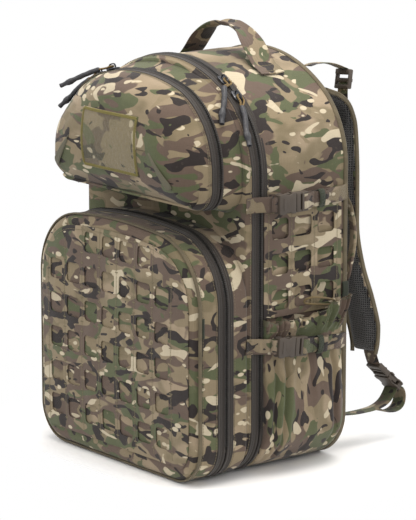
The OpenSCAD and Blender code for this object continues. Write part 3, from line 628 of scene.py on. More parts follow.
class Arch:
    """A zipped arch seen from the front: flat foot, straight sides, round shoulders, shallow crown."""

    def __init__(self, width, top, spring, shoulder, foot, foot_r):
        self.half, self.top, self.spring, self.shoulder = width / 2, top, spring, shoulder
        self.foot, self.foot_r = foot, foot_r
        self.k, self.foot_half = self.half - shoulder, self.half - foot_r
        u = top - shoulder
        self.crown_z = (u + spring - self.k ** 2 / (u - spring)) / 2
        self.crown_r = top - self.crown_z
        self.join = math.atan2(spring - self.crown_z, self.k)
        arcs = [(self.foot_half, foot + foot_r, foot_r, -PI / 2, 0), (self.k, spring, shoulder, 0, self.join),
                (0, self.crown_z, self.crown_r, self.join, PI - self.join),
                (-self.k, spring, shoulder, PI - self.join, PI),
                (-self.foot_half, foot + foot_r, foot_r, PI, PI * 1.5)]
        self.runs, spot = [], (0.0, foot)
        for cx, cz, r, a, b in arcs:
            start = (cx + r * math.cos(a), cz + r * math.sin(a))
            self.runs.append((math.dist(spot, start), (spot, start), None))
            self.runs.append((r * (b - a), None, (cx, cz, r, a, b)))
            spot = (cx + r * math.cos(b), cz + r * math.sin(b))
        self.runs.append((math.dist(spot, (0, foot)), (spot, (0, foot)), None))
        self.length = sum(run[0] for run in self.runs)

    def at(self, along, inset=0.0):
        """(x, z, outward x, outward z) at a distance round the outline from the middle of the foot."""
        along %= self.length
        for size, line, arc in self.runs:
            if along <= size:
                break
            along -= size
        share = min(along / size, 1.0) if size > 1e-9 else 0.0
        if arc:
            cx, cz, r, a, b = arc
            angle = a + (b - a) * share
            c, s = math.cos(angle), math.sin(angle)
            return cx + (r - inset) * c, cz + (r - inset) * s, c, s
        (x0, z0), (x1, z1) = line
        n = (z1 - z0) / size, (x0 - x1) / size
        return x0 + (x1 - x0) * share - n[0] * inset, z0 + (z1 - z0) * share - n[1] * inset, n[0], n[1]

    def point(self, along, y, lift=0.0):
        x, z, _, _ = self.at(along, -lift)
        return Vector((x, y, z))

    def normal(self, along):
        _, _, nx, nz = self.at(along)
        return Vector((nx, 0, nz))

    def column(self, x, inset=0.0):
        """Lowest and highest point of the outline at x."""
        a, r = abs(x), self.crown_r - inset
        if a <= r * math.cos(self.join):
            top = self.crown_z + math.sqrt(max(r * r - a * a, 0))
        else:
            top = self.spring + math.sqrt(max((self.shoulder - inset) ** 2 - max(a - self.k, 0) ** 2, 0))
        low = self.foot + inset
        if a > self.foot_half:
            drop = (self.foot_r - inset) ** 2 - (a - self.foot_half) ** 2
            low = self.foot + self.foot_r - math.sqrt(max(drop, 0))
        return low, top

    def seam(self, y, lift=0.0, start=None, end=None):
        """A line round the outline for stitches, with its length."""
        start = self.foot_half if start is None else start
        end = self.length - self.foot_half if end is None else end
        return (lambda d: (self.point(start + d, y, lift), self.normal(start + d))), end - start


# The arches of the three zipped compartments, and their planes from front to back
main = Arch(0.340, 0.527, 0.390, 0.121, 0.0, 0.064)
upper = Arch(0.306, 0.511, 0.400, 0.104, 0.350, 0.030)
lower = Arch(0.340, 0.322, 0.229, 0.088, 0.003, 0.048)
zip_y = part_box("main_tape_rear")[0].y - 1.3 * MM
back_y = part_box("back_panel")[1].y
door_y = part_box("door_panel")[0].y
upper_zip_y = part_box("upper_tape_front")[1].y + 1.3 * MM
lower_zip_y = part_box("lower_tape_front")[1].y + 1.3 * MM
side_x = main.half
CLOTH_WALL = 1.4 * MM


# ---- Main compartment ----
def sagging(arch, y0, y1, soft, inset0=0.0, inset1=0.0, seed=0.0):
    """Cloth wall round an arch from y0 back to y1: it sags and creases between its two seams."""
    def spot(u, v):
        along = u * arch.length
        y = y0 + (y1 - y0) * v
        held = math.sin(PI * v) ** 0.6 if 0 < v < 1 else 0.0
        x, z, nx, nz = arch.at(along, inset0 + (inset1 - inset0) * v)
        wave = ripple((x, y * 0.6, z), 8.0, seed) + ripple((x, y * 1.6, z), 26.0, seed + 3) * 0.35
        lift = soft * held * (wave - 0.15)
        return Vector((x + nx * lift, y, max(z + nz * lift, 0.0003)))
    return spot


gusset_start = zip_y + 3.0 * MM
wall_cloth = lofted(300, 34, sagging(main, back_y - 2 * MM, gusset_start, 3.2 * MM, seed=1.0), main.length,
                    back_y - gusset_start, seam=True)
walled(piece("main_compartment_wall", wall_cloth, "pack", "camo_fabric", BODY_CLOTH, LINING,
             stands_for=("main_gusset", "base_panel")), CLOTH_WALL)


def filled(arch, inset, y, belly=0.0, steps=60, seed=0.0, soft=0.0, faces_back=False):
    """A cloth panel that fills an arch; belly pushes its middle forward."""
    reach = arch.half - inset

    def spot(u, v):
        s = math.sin(PI * (u - 0.5))
        x = reach * (0.45 * (2 * u - 1) + 0.55 * s)
        low, high = arch.column(x, inset)
        w = 0.5 - 0.5 * math.cos(PI * v)
        z = low + (high - low) * (0.5 * v + 0.5 * w)
        inner = (1 - abs(x / reach) ** 4) * (4 * v * (1 - v)) ** 0.5
        out = belly * inner + soft * inner * ripple((x, 0, z), 11.0, seed)
        return Vector((-x if faces_back else x, y + (out if faces_back else -out), z))
    return lofted(steps, steps, spot, reach * 2, arch.top - arch.foot)


walled(piece("back_panel_cloth", filled(main, 1.0 * MM, back_y - 1.2 * MM, faces_back=True, belly=1.0 * MM,
                                        seed=4.0, soft=0.8 * MM),
             "pack", "camo_fabric", BODY_CLOTH, LINING, stands_for=("back_panel",)), 2.5 * MM)


def bound_edge(name, arch, y, body, width=9.0, thick=3.0, lift=0.0, start=0.0, end=None, finish=None):
    """Binding tape folded over a seam round an arch."""
    end = arch.length if end is None else end
    whole = end - start >= arch.length - 1e-6
    count = 260
    path = [arch.point(start + (end - start) * i / count, y, lift) for i in range(count + 1)]
    tape = swept(path, lambda s: flat_band(width * MM, thick * MM, 6), (0, 1, 0), closed=whole)
    return piece(name, tape, body, "webbing", finish or BINDING)


bound_edge("back_seam_binding", main, back_y - 2.0 * MM, "pack", 7.0, 2.6, 0.2 * MM)
for name in ("frame_sheet", "frame_stays"):
    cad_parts[name].data.materials.clear()
    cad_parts[name].data.materials.append(sheet_finish() if name == "frame_sheet" else stay_finish())

# The door: a stiffened panel with a rolled rim, hung on the foot of the main zip
def door_spot(u, v):
    along = u * main.length
    marks = [(0, 0.0, zip_y - 9.0 * MM), (0.5, 0.0, zip_y - 13.5 * MM), (1, 3.2, door_y)]
    inset = level_at([(m, i) for m, i, _ in marks], v) * MM
    y = level_at([(m, d) for m, _, d in marks], v)
    x, z, _, _ = main.at(along, inset)
    return Vector((x, y, max(z, 0.0003)))


door_cloth = joined(lofted(240, 8, door_spot, main.length, 0.02, seam=True),
                    filled(main, 3.2 * MM, door_y, steps=50, seed=6.0, soft=0.5 * MM))
bmesh.ops.remove_doubles(door_cloth, verts=door_cloth.verts, dist=0.0004)
walled(piece("door_cloth", door_cloth, "main_door", "camo_fabric", DOOR_CLOTH, LINING,
             stands_for=("door_panel",)), 3.2 * MM)

# ---- Zips ----
# One tape's section: millimetres from the zip's line, and height above the arch
TAPE_SIDE = [(12.6, -0.9), (12.5, 0.5), (12.1, 0.9), (9.6, 0.8), (9.0, 0.35), (8.4, 0.8), (6.2, 0.75),
             (5.6, 0.4), (5.0, 0.9), (4.5, 1.6), (3.7, 2.0), (1.9, 1.9), (1.35, 1.4), (1.3, -1.2)]


def zip_half(name, arch, plane, way, body, stands_for=()):
    """One tape of a zip with its coil: way is 1 behind the zip's line and -1 in front of it."""
    side = TAPE_SIDE if way > 0 else TAPE_SIDE[::-1]
    start, span = arch.foot_half, arch.length - 2 * arch.foot_half

    def spot(u, v):
        d, h = side[round(v * (len(side) - 1))]
        here = arch.point(start + u * span, plane + way * d * MM, h * MM)
        here.z = max(here.z, 0.0004)
        return here
    tape = lofted(320, len(side) - 1, spot, span, 0.0125)
    piece(name, tape, body, "zip_tape", TAPE, stands_for=stands_for)
    coil = bmesh.new()
    clear = 0.5 * PI * arch.foot_r
    pitch = 2.9 * MM
    for i in range(int((span - 2 * clear) / pitch)):
        along = start + clear + (i + (0.0 if way > 0 else 0.5)) * pitch
        here, normal = arch.point(along, plane + way * 2.0 * MM, 2.05 * MM), arch.normal(along)
        run = Vector((-normal.z, 0, normal.x))
        placing = frame_of(here, run, normal) @ Matrix.Rotation(0.12 * way, 4, "Z")
        verts = bmesh.ops.create_cube(coil, size=1.0, matrix=placing @ Matrix.Diagonal(
            (1.7 * MM, 3.3 * MM, 1.3 * MM, 1)))["verts"]
        for vert in verts:
            local = placing.inverted() @ vert.co
            if local.z > 0:
                vert.co = placing @ Vector((local.x * 0.45, local.y * 0.86, local.z))
    piece(name + "_coil", coil, body, "zip_tape", TEETH)
    for d in (9.0, 5.6):
        line, length = arch.seam(plane + way * d * MM, 0.55 * MM)
        stitches(body, DARK_THREAD, line, length, *TAPE_ROW)
    line, length = arch.seam(plane + way * 14.6 * MM, 0.25 * MM)
    stitches(body, THREAD, line, length, *SEAM_ROW)


zip_half("main_zip_tape_rear", main, zip_y, 1, "pack", ("main_tape_rear",))
zip_half("main_zip_tape_front", main, zip_y, -1, "main_door", ("main_tape_front",))
zip_half("upper_zip_tape_rear", upper, upper_zip_y, 1, "main_door", ("pocket_tapes_rear",))
zip_half("upper_zip_tape_front", upper, upper_zip_y, -1, "upper_front", ("upper_tape_front",))
zip_half("lower_zip_tape_rear", lower, lower_zip_y, 1, "main_door")
zip_half("lower_zip_tape_front", lower, lower_zip_y, -1, "lower_front", ("lower_tape_front",))


# ---- Sliders and their cord pulls ----
def on_arc(cx, cz, radius, degrees, y, sense):
    """Slider placing: x runs along the zip, y across it and z away from the tape."""
    turn = Matrix.Rotation(-math.radians(degrees), 4, "Y")
    return (Matrix.Translation((cx, y, cz)) @ turn @ Matrix.Translation((radius, 0, 0))
            @ Matrix.Rotation(PI / 2, 4, "Y") @ Matrix.Diagonal((sense, 1, 1, 1)))


def slider(name, placing, body, node):
    """A zip slider: a plate on each side of the tapes, a neck between them, two ridges and a bail."""
    outline = [(-10, -4.6), (-7, -5.6), (3, -6), (10, -3.4), (10, 3.4), (3, 6), (-7, 5.6), (-10, 4.6)]
    over, under = plate(outline, 2.6, 4.6, 0.6), plate(outline, -5.0, -3.2, 0.4)
    neck = bmesh.new()
    block(neck, (5, 1.4, 6.4), Matrix.Translation((6.5, 0, 0)), 0.3)
    bail = swept(curve_through([(-6.4, 0, 4.2), (-6.6, 0, 7.4), (-4.6, 0, 9.6), (0, 0, 10.1), (4.6, 0, 9.6),
                                (6.6, 0, 7.4), (6.4, 0, 4.2)], 26), lambda s: flat_band(2.4, 1.7, 4), (0, 1, 0))
    ridges = bmesh.new()
    for y in (3.2, -3.2):
        block(ridges, (13, 1.2, 0.7), Matrix.Translation((0, y, 4.7)), 0.2)
    whole = joined(over, under, neck, bail, ridges)
    bmesh.ops.scale(whole, vec=(MM, MM, MM), verts=whole.verts)
    bmesh.ops.transform(whole, matrix=placing, verts=whole.verts)
    if placing.determinant() < 0:
        bmesh.ops.reverse_faces(whole, faces=whole.faces)
    return piece(name, whole, body, "slider", METAL, crease=32, stands_for=(node,))


def pull(name, placing, droop, skew, body, node, seed, hang=(0, 0, -1), give=0.0):
    """A doubled cord through the slider's bail, held in a shrunk sleeve with a knot inside its end.
    The sleeve bends from its own line towards hang, by give at its end."""
    local = placing @ Matrix.Translation((0, 0, 7.2 * MM)) @ Matrix.Rotation(math.radians(droop), 4, "Y")
    skew = math.radians(skew)
    dx, dy = math.cos(skew), -math.sin(skew)
    neck = Vector((21 * dx, 21 * dy, 0))
    side = Vector((-dy, dx, 0))
    near, far = [[Vector((0.6, s * 2.4, 0)), Vector((4.0, s * 3.2, 0)), Vector((10.5, s * 3.0, 0)),
                  neck * 0.85 + side * s * 1.5, neck * 1.25 + side * s * 1.2] for s in (-1, 1)]
    route = near[::-1] + [Vector((-0.3, 0, 0))] + far
    path = [local @ (p * MM) for p in curve_through(route, 60)]
    strand = swept(path, lambda s: round_cord(1.25 * MM, 8), local.to_3x3() @ Vector((0, 0, 1)))
    piece(name + "_cord", strand, body, "sleeve", PULL_CORD, crease=70)
    # The sleeve's distance along the pull and its radius, in millimetres
    profile = [(17.5, 1.9), (18.4, 3.0), (21, 3.6), (27, 3.9), (36, 3.5), (45, 3.8), (53, 3.4), (56.5, 4.0),
               (60.5, 5.0), (64.5, 4.8), (68, 3.5), (71, 3.2), (75.2, 3.5), (76, 3.4), (76, 2.4), (74, 2.1),
               (70, 0.4)]
    direction = Vector((dx, dy, 0))
    held = (local.to_3x3() @ direction).normalized()
    track, here = [], local @ Vector((0, 0, 0))
    for x in range(90):
        bent = give * level_at([(0, 0), (12, 0), (42, 1), (90, 1)], x)
        heading = held.lerp(Vector(hang).normalized(), bent).normalized()
        track.append((here, heading))
        here = here + heading * MM

    def spot(u, v):
        i = v * (len(profile) - 1)
        k = min(int(i), len(profile) - 2)
        (x0, r0), (x1, r1) = profile[k], profile[k + 1]
        x, r = x0 + (x1 - x0) * (i - k), r0 + (r1 - r0) * (i - k)
        angle = -2 * PI * u
        flat = 1 - 0.16 * level_at([(15, 0), (26, 1), (38, 0.4), (60, 1)], x)
        c, s = math.cos(angle), math.sin(angle)
        r *= 1 + 0.10 * ripple((x * 0.12, c, s), 1.4, seed)
        bend = 0.6 * math.sin(x * 0.16 + seed)
        start, heading = track[int(x)]
        start = start + heading * (x - int(x)) * MM
        across = local.to_3x3() @ side
        across = (across - heading * across.dot(heading)).normalized()
        over = across.cross(heading)
        if over.dot(local.to_3x3() @ Vector((0, 0, 1))) < 0:
            over = -over
        return start + (across * (c * r + bend) + over * (s * r * flat)) * MM
    sleeve = lofted(20, 64, spot, 0.024, 0.04, seam=True)
    if placing.determinant() < 0:
        bmesh.ops.reverse_faces(sleeve, faces=sleeve.faces)
    return piece(name + "_sleeve", sleeve, body, "sleeve", SLEEVE, crease=60, stands_for=(node,))


join_main, join_upper = math.degrees(main.join), math.degrees(upper.join)
on_side = (Matrix.Translation((-lower.half, lower_zip_y, 0.190)) @ Matrix.Rotation(-PI / 2, 4, "Y")
           @ Matrix.Diagonal((-1, 1, 1, 1)))
for name, placing, droop, skew, seed, hang, give in (
        ("main_a", on_arc(0, main.crown_z, main.crown_r, join_main + 7.7, zip_y, 1),
         5, 35, 1.0, (0.10, -0.25, -1), 0.45),
        ("main_b", on_arc(main.k, main.spring, main.shoulder, join_main - 1.8, zip_y, 1),
         8, 14, 2.3, (0.10, -0.40, -1), 0.22),
        ("upper_a", on_arc(0, upper.crown_z, upper.crown_r, 178.2 - join_upper, upper_zip_y, -1),
         5, 35, 3.1, (-0.66, -0.62, -0.56), 0.60),
        ("upper_b", on_arc(-upper.k, upper.spring, upper.shoulder, 191.7 - join_upper, upper_zip_y, -1),
         8, 14, 4.7, (-0.56, -0.46, -0.72), 0.90),
        ("lower", on_side, 0, 0, 5.9, (0, 0, -1), 0.0)):
    slider_node = f"{name[:-2]}_slider_{name[-1]}" if name != "lower" else "lower_slider"
    pull_node = slider_node.replace("slider", "pull")
    slider(slider_node + "_body", placing, slider_node, slider_node)
    pull(pull_node, placing, droop, skew, pull_node, pull_node, seed, hang, give)

# ---- Upper pocket ----
FLARE = 8 * MM
upper_gusset = lofted(280, 14, sagging(upper, door_y, upper_zip_y + 3.0 * MM, 1.6 * MM, -FLARE, 0.0, seed=8.0),
                      upper.length, 0.03, seam=True)
walled(piece("upper_pocket_gusset", upper_gusset, "main_door", "camo_fabric", DOOR_CLOTH, LINING,
             stands_for=("upper_gusset",)), CLOTH_WALL)


def dome(arch, edge, middle, crown, seed=0.0, soft=2.0 * MM, sink=None):
    """A pocket front in one cloth: rings follow the edge, a table of (inset, y), and close on a level line.
    middle is that line's half length and height; crown is how far the cloth stands out there."""
    half, height = middle
    last = len(edge) - 1
    turn = 0.55

    def spot(u, v):
        along = u * arch.length
        t = min(v / turn, 1.0) * last
        k = min(int(t), last - 1)
        (i0, y0), (i1, y1) = edge[k], edge[k + 1]
        inset, y = i0 + (i1 - i0) * (t - k), y0 + (y1 - y0) * (t - k)
        x, z, nx, nz = arch.at(along, inset)
        inner = max(v - turn, 0.0) / (1 - turn)
        cx = max(-half, min(half, x))
        x, z = x + (cx - x) * inner, z + (height - z) * inner
        y -= crown * (1 - (1 - inner) ** 2.2)
        loose = level_at([(0, 0), (0.25, 1), (1, 1)], v)
        wave = ripple((x, y * 0.7, z), 9.0, seed) + 0.35 * ripple((x, y, z), 28.0, seed + 2)
        lift = soft * loose * wave
        out = Vector((nx * (1 - inner), -0.35 - inner, nz * (1 - inner))).normalized()
        here = Vector((x, y, z)) + out * lift
        if sink:
            here.y += sink(here) * loose
        here.z = max(here.z, 0.0005)
        return here
    bm = lofted(260, 46, spot, arch.length, 0.3, seam=True)
    slit = [e for e in bm.edges if e.is_boundary and e.verts[0].co.y < edge[-1][1]]
    bmesh.ops.holes_fill(bm, edges=slit, sides=0)
    return bm


UPPER_EDGE = [(inset * MM, upper_zip_y - forward * MM) for inset, forward in (
    (0.0, 3.0), (0.2, 13), (1.4, 20), (4.5, 28), (10, 37), (18, 46), (28, 53), (38, 56))]


def slump(here):
    """Where the filled pocket pulls in: below its top left corner, and along its foot."""
    corner = math.exp(-((here.x + 0.115) / 0.05) ** 2 - ((here.z - 0.470) / 0.035) ** 2)
    foot = math.exp(-((here.z - 0.366) / 0.012) ** 2) * (1 if here.y < upper_zip_y - 0.03 else 0)
    return 0.006 * corner + 0.004 * foot


upper_cloth = dome(upper, UPPER_EDGE, (0.085, 0.424), 5.5 * MM, seed=11.0, soft=3.4 * MM, sink=slump)
upper_skin = upper_cloth.copy()
walled(piece("upper_pocket_cloth", upper_cloth, "upper_front", "camo_fabric", UPPER_CLOTH, LINING,
             stands_for=("upper_shell",)), CLOTH_WALL)


def skin_of(bm):
    """Finds where a level line from in front meets a surface: gives its point and normal."""
    tree = BVHTree.FromBMesh(bm)

    def meet(x, z):
        spot, normal, _, _ = tree.ray_cast(Vector((x, -1.0, z)), Vector((0, 1, 0)))
        return (spot, normal if normal.y < 0 else -normal) if spot else (None, None)
    return meet


on_upper = skin_of(upper_skin)
patch_low, patch_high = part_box("loop_patch")


def patch_spot(u, v, lift=0.0):
    x = patch_low.x + (patch_high.x - patch_low.x) * u
    z = patch_low.z + (patch_high.z - patch_low.z) * v
    here, normal = on_upper(x, z)
    return here + Vector((0, -1, 0)) * (1.1 * MM + lift), normal


walled(piece("loop_patch_pile", lofted(40, 28, lambda u, v: patch_spot(u, v)[0], 0.118, 0.078),
             "upper_front", "loop", PILE, stands_for=("loop_patch",)), 1.3 * MM)
corners = [(0.02, 0.03), (0.98, 0.03), (0.98, 0.97), (0.02, 0.97)]
for (u0, v0), (u1, v1) in zip(corners, corners[1:] + corners[:1]):
    span = math.hypot((u1 - u0) * 0.118, (v1 - v0) * 0.078)
    stitches("upper_front", GOLD_THREAD, lambda d, a=(u0, v0), b=(u1, v1), s=span: patch_spot(
        a[0] + (b[0] - a[0]) * max(0, min(1, d / s)), a[1] + (b[1] - a[1]) * max(0, min(1, d / s)), 0.3 * MM),
        span, 0.0016, (0.0040, 0.0014, 0.0010), cross=True)
# Seam round the pocket's front, and its piped foot
line, length = upper.seam(upper_zip_y - 17 * MM, 0.2 * MM, upper.foot_half)
stitches("upper_front", THREAD, line, length, *SEAM_ROW)
bound_edge("upper_pocket_piping", upper, upper_zip_y - 33 * MM, "upper_front", 3.0, 3.0, -7.2 * MM,
           start=-upper.foot_half * 1.15, end=upper.foot_half * 1.15, finish=UPPER_CLOTH)

# ---- Lower pocket ----
lower_gusset = lofted(280, 14, sagging(lower, door_y, lower_zip_y + 3.0 * MM, 1.6 * MM, seed=15.0),
                      lower.length, 0.034, seam=True)
walled(piece("lower_pocket_gusset", lower_gusset, "main_door", "camo_fabric", DOOR_CLOTH, LINING,
             stands_for=("lower_gusset",)), CLOTH_WALL)
LOWER_EDGE = [(inset * MM, lower_zip_y - forward * MM) for inset, forward in (
    (0.0, 3.0), (0.0, 12), (-0.3, 25), (0.2, 38), (2.0, 42.5), (6.0, 46), (12, 48), (20, 49))]
lower_cloth = dome(lower, LOWER_EDGE, (0.110, 0.150), 3.5 * MM, seed=19.0, soft=1.8 * MM)
lower_skin = lower_cloth.copy()
walled(piece("lower_pocket_cloth", lower_cloth, "lower_front", "camo_fabric", LOWER_CLOTH, LINING,
             stands_for=("lower_shell",)), CLOTH_WALL)
bound_edge("lower_pocket_binding", lower, lower_zip_y - 41.0 * MM, "lower_front", 5.5, 2.4, 0.2 * MM)
line, length = lower.seam(lower_zip_y - 36.5 * MM, 0.4 * MM, 0, lower.length)
stitches("lower_front", THREAD, line, length, *SEAM_ROW)
on_lower = skin_of(lower_skin)


# ---- Windowed laminate ----
def window_cutter(centres, size, depth):
    """Prisms with rounded corners, one for each window, in a flat x and y layout."""
    bm = bmesh.new()
    for cx, cy in centres:
        made = bmesh.ops.create_grid(bm, x_segments=1, y_segments=1, size=0.5, matrix=Matrix.Translation(
            (cx, cy, -depth)) @ Matrix.Diagonal((*size, 1, 1)))["verts"]
        bmesh.ops.bevel(bm, geom=made, offset=5 * MM, segments=3, profile=0.5, affect="VERTICES", material=-1)
    raise_by(bm, bm.faces[:], 2 * depth)
    return bm


def laminated(name, sheet, centres, size, thick, spot, body, node):
    """A laminate sheet, cut with windows while flat, then laid on the cloth: spot(x, y, height) places it."""
    raise_by(sheet, sheet.faces[:], thick)
    blank, tool = bpy.data.meshes.new("blank"), bpy.data.meshes.new("tool")
    sheet.to_mesh(blank)
    sheet.free()
    cutter = window_cutter(centres, size, 0.02)
    cutter.to_mesh(tool)
    cutter.free()
    flat, prisms = placed("blank", blank, (0, 0, 0)), placed("tool", tool, (0, 0, 0))
    cut = flat.modifiers.new("windows", "BOOLEAN")
    cut.operation, cut.solver, cut.object = "DIFFERENCE", "EXACT", prisms
    bpy.context.view_layer.update()
    bm = bmesh.new()
    bm.from_mesh(flat.evaluated_get(bpy.context.evaluated_depsgraph_get()).to_mesh())
    for spare in (flat, prisms):
        bpy.data.objects.remove(spare)
    for vert in bm.verts:
        vert.co = spot(vert.co.x, vert.co.y, vert.co.z)
    return piece(name, bm, body, "laminate", LAMINATE, crease=50, stands_for=(node,))


WINDOW = (28 * MM, 27 * MM)
PITCH = 38 * MM
front_columns = [(-122 + 38 * i) * MM for i in range(7)]
front_rows = [(286 - 46 * i) * MM for i in range(6)]
front_windows = [(x, z) for x in front_columns for z in front_rows
                 if z < 0.28 or abs(x) < lower.half - lower.shoulder]
GRID_FOOT = 24 * MM


def front_blank():
    reach = lower.half - 14 * MM

    def spot(u, v):
        x = reach * (0.7 * (2 * u - 1) + 0.3 * math.sin(PI * (u - 0.5)))
        low, high = lower.column(x, 14 * MM)
        return Vector((x, max(low, GRID_FOOT) + (high - max(low, GRID_FOOT)) * v, 0))
    return lofted(84, 76, spot)


def front_spot(x, z, h):
    here, _ = on_lower(x, max(z, GRID_FOOT))
    between = (x - front_columns[0]) / PITCH + 0.5
    puff = math.sin(PI * (between % 1.0)) ** 2 if 0 < between < len(front_columns) else 0.0
    droop = 0.5 + 0.5 * ripple((x, 0, z), 30.0, 22.0)
    return Vector((x, here.y - 0.5 * MM - h - puff * 1.5 * MM * droop, z))


laminated("front_laminate", front_blank(), front_windows, WINDOW, 1.2 * MM, front_spot, "lower_front",
          "front_grid")
for i in range(8):
    x = front_columns[0] + (i - 0.5) * PITCH
    top = 0.307 - (0.045 if i in (0, 7) else 0.022 if i == 1 else 0.0)
    length = length_of([Vector((x, 0, top)), Vector((x, 0, GRID_FOOT + 6 * MM))])
    stitches("lower_front", THREAD, lambda d, x=x, t=top: (front_spot(x, t - d, 1.2 * MM), Vector((0, -1, 0))),
             length, *ZIGZAG, cross=True)
for r, z in enumerate(front_rows):
    for i in range(8):
        x = front_columns[0] + (i - 0.5) * PITCH
        if r == 0 and i in (0, 7):
            continue
        for dz in (-0.016, 0.0165):
            stitches("lower_front", THREAD, lambda d, x=x, z=z + dz: (
                front_spot(x - 0.003 + d, z, 1.25 * MM), Vector((0, -1, 0))), 0.006, 0.0012,
                (0.0011, 0.0016, 0.0006))


def under_zip(d):
    """The row along the laminate's top edge, from left to right."""
    x = -0.13 + d
    return front_spot(x, lower.column(x, 19 * MM)[1], 1.2 * MM), Vector((0, -1, 0))


stitches("lower_front", THREAD, under_zip, 0.26, 0.0036)

# ---- Side grids and side pockets ----
SIDE_Y0, SIDE_Y1 = -18 * MM, 110 * MM
side_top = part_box("side_grid_right")[1].z
side_windows = [(y * MM, z * MM) for y in (8, 46, 84) for z in (322, 276, 230)]


def side_spot(mirror):
    def spot(y, z, h):
        between = (y + 11 * MM) / PITCH
        puff = math.sin(PI * (between % 1.0)) ** 2 if 0 < between < 3 else 0.0
        wave = 0.5 + 0.5 * ripple((0, y, z), 25.0, 31.0 * mirror)
        out = side_x + 1.2 * MM + h + (1.3 * puff + 0.8) * wave * MM
        return Vector((mirror * out, y, z))
    return spot


for mirror, hand in ((1, "right"), (-1, "left")):
    blank = lofted(42, 44, lambda u, v: Vector((SIDE_Y0 + (SIDE_Y1 - SIDE_Y0) * u,
                                               0.208 + (side_top - 0.208) * v, 0)))
    place_side = side_spot(mirror)
    laminated(f"side_laminate_{hand}", blank, side_windows, WINDOW, 1.2 * MM, place_side, "pack",
              f"side_grid_{hand}")
    out = Vector((mirror, 0, 0))
    for y in (-0.011, 0.027, 0.065, 0.103):
        stitches("pack", THREAD, lambda d, y=y: (place_side(y, 0.343 - d, 1.2 * MM), out),
                 0.13, *ZIGZAG, cross=True)
    stitches("pack", THREAD, lambda d: (place_side(-0.016 + d, 0.3435, 1.2 * MM), out), 0.124, 0.0036)


def pocket_depth(z):
    """How far the side pocket stands out from the wall at a height: full low down, nipped by the strap."""
    return level_at([(0.004, 0.004), (0.020, 0.009), (0.050, 0.0165), (0.090, 0.0180), (0.125, 0.0130),
                     (0.147, 0.0080), (0.166, 0.0074), (0.180, 0.0088), (0.196, 0.0145), (0.206, 0.0160),
                     (0.212, 0.0135)], z)


def pocket_spot(u, v, inner=0.0):
    """Side pocket on the right: u runs round it from front to back, v from foot to rim."""
    z = 0.004 + 0.208 * v
    angle = PI * u
    c, s = math.cos(angle), math.sin(angle)
    middle, half = (SIDE_Y0 + SIDE_Y1) / 2, (SIDE_Y1 - SIDE_Y0) / 2
    y = middle - half * math.copysign(abs(c) ** 0.52, c)
    round_out = s ** 0.42 if s > 1e-9 else 0.0
    wall, _, _, _ = main.at(main.foot_half + 0.5 * PI * main.foot_r, 0)
    if z < main.foot_r:
        wall = main.foot_half + math.sqrt(main.foot_r ** 2 - (main.foot_r - z) ** 2)
    wall += 0.4 * MM
    depth = pocket_depth(z)
    low = max(0.0, 1 - z / 0.064)
    gather = level_at([(0, 0), (0.177, 0), (0.196, 1), (0.212, 1.25)], z)
    pleat = 0.0
    for y0, lean, deep in ((-0.004, 0.10, 5.6), (0.012, 0.16, 5.2), (0.091, -0.08, 4.6), (0.052, 0.05, 2.4)):
        track = y0 + lean * (z - 0.12) * 0.5 + 0.002 * math.sin(z * 60)
        strength = level_at([(0, 0.1), (0.03, 0.7), (0.11, 1.0), (0.150, 0.7), (0.17, 0.2), (0.2, 0)], z)
        pleat += deep * strength * math.exp(-((y - track) / 0.0032) ** 2)
        pleat -= 0.45 * deep * strength * math.exp(-((y - track - 0.0075) / 0.0045) ** 2)
    gathers = (math.sin(y * 560 + 1.5 * math.sin(y * 130)) + 0.5 * math.sin(y * 1010)) * gather * 2.3
    lip = math.sin(0.5 * PI * min(1.0, max(0.0, (y - 0.048) / 0.052))) ** 1.6
    soft = ripple((0.2, y, z), 16.0, 41.0) * 2.2 + ripple((0.2, y, z), 45.0, 43.0) * 0.8
    lift = (-pleat + gathers + soft * (1 - 0.6 * gather)) * MM
    flare = lip * level_at([(0, 0), (0.178, 0), (0.192, 5.0), (0.204, 14.0), (0.212, 19.0)], z) * MM
    x = wall + max(depth + lift - inner, 0.6 * MM) * round_out * (1 - 0.35 * low) + flare
    wavy = lip * 15.0 + (2.0 * math.sin(y * 260) - 7.0) * (1 - lip)
    rise = level_at([(0, 0), (0.185, 0), (0.212, 1)], z) * wavy * MM
    return Vector((x, y, z + rise))


def pocket_cloth():
    """Outer cloth, rolled over an elastic hem at the rim and back down inside."""
    def spot(u, v):
        if v <= 0.86:
            return pocket_spot(u, v / 0.86)
        t = (v - 0.86) / 0.14
        top = pocket_spot(u, 1.0)
        inside = pocket_spot(u, 1.0 - 0.045 * t, 3.4 * MM * min(1, t * 1.6))
        inside.z += 1.6 * MM * math.sin(PI * min(1, t * 1.6))
        return top.lerp(inside, min(1.0, t * 3))
    return lofted(150, 110, spot, 0.2, 0.25)


right_pocket = pocket_cloth()
for bm, hand in ((copied(right_pocket, flipped=True), "left"), (right_pocket, "right")):
    walled(piece(f"side_pocket_cloth_{hand}", bm, "pack", "camo_fabric", POCKET_CLOTH, LINING,
                 stands_for=(f"side_pocket_{hand}",)), 1.0 * MM)
CORD_ROUTE = [(173.4, 100, 215), (180, 90, 220), (185, 70, 226), (185, 52, 229), (180, 44, 226), (178, 46, 221),
              (180, 60, 218), (178, 82, 214), (173.4, 100, 211)]


def hem_row(sign):
    """The seam under the side pocket's hem, from front to back."""
    def spot(d):
        here = pocket_spot(0.06 + d / 0.16, 0.192 / 0.212)
        return Vector((sign * (here.x + 0.3 * MM), here.y, here.z)), Vector((sign, 0, 0))
    return spot


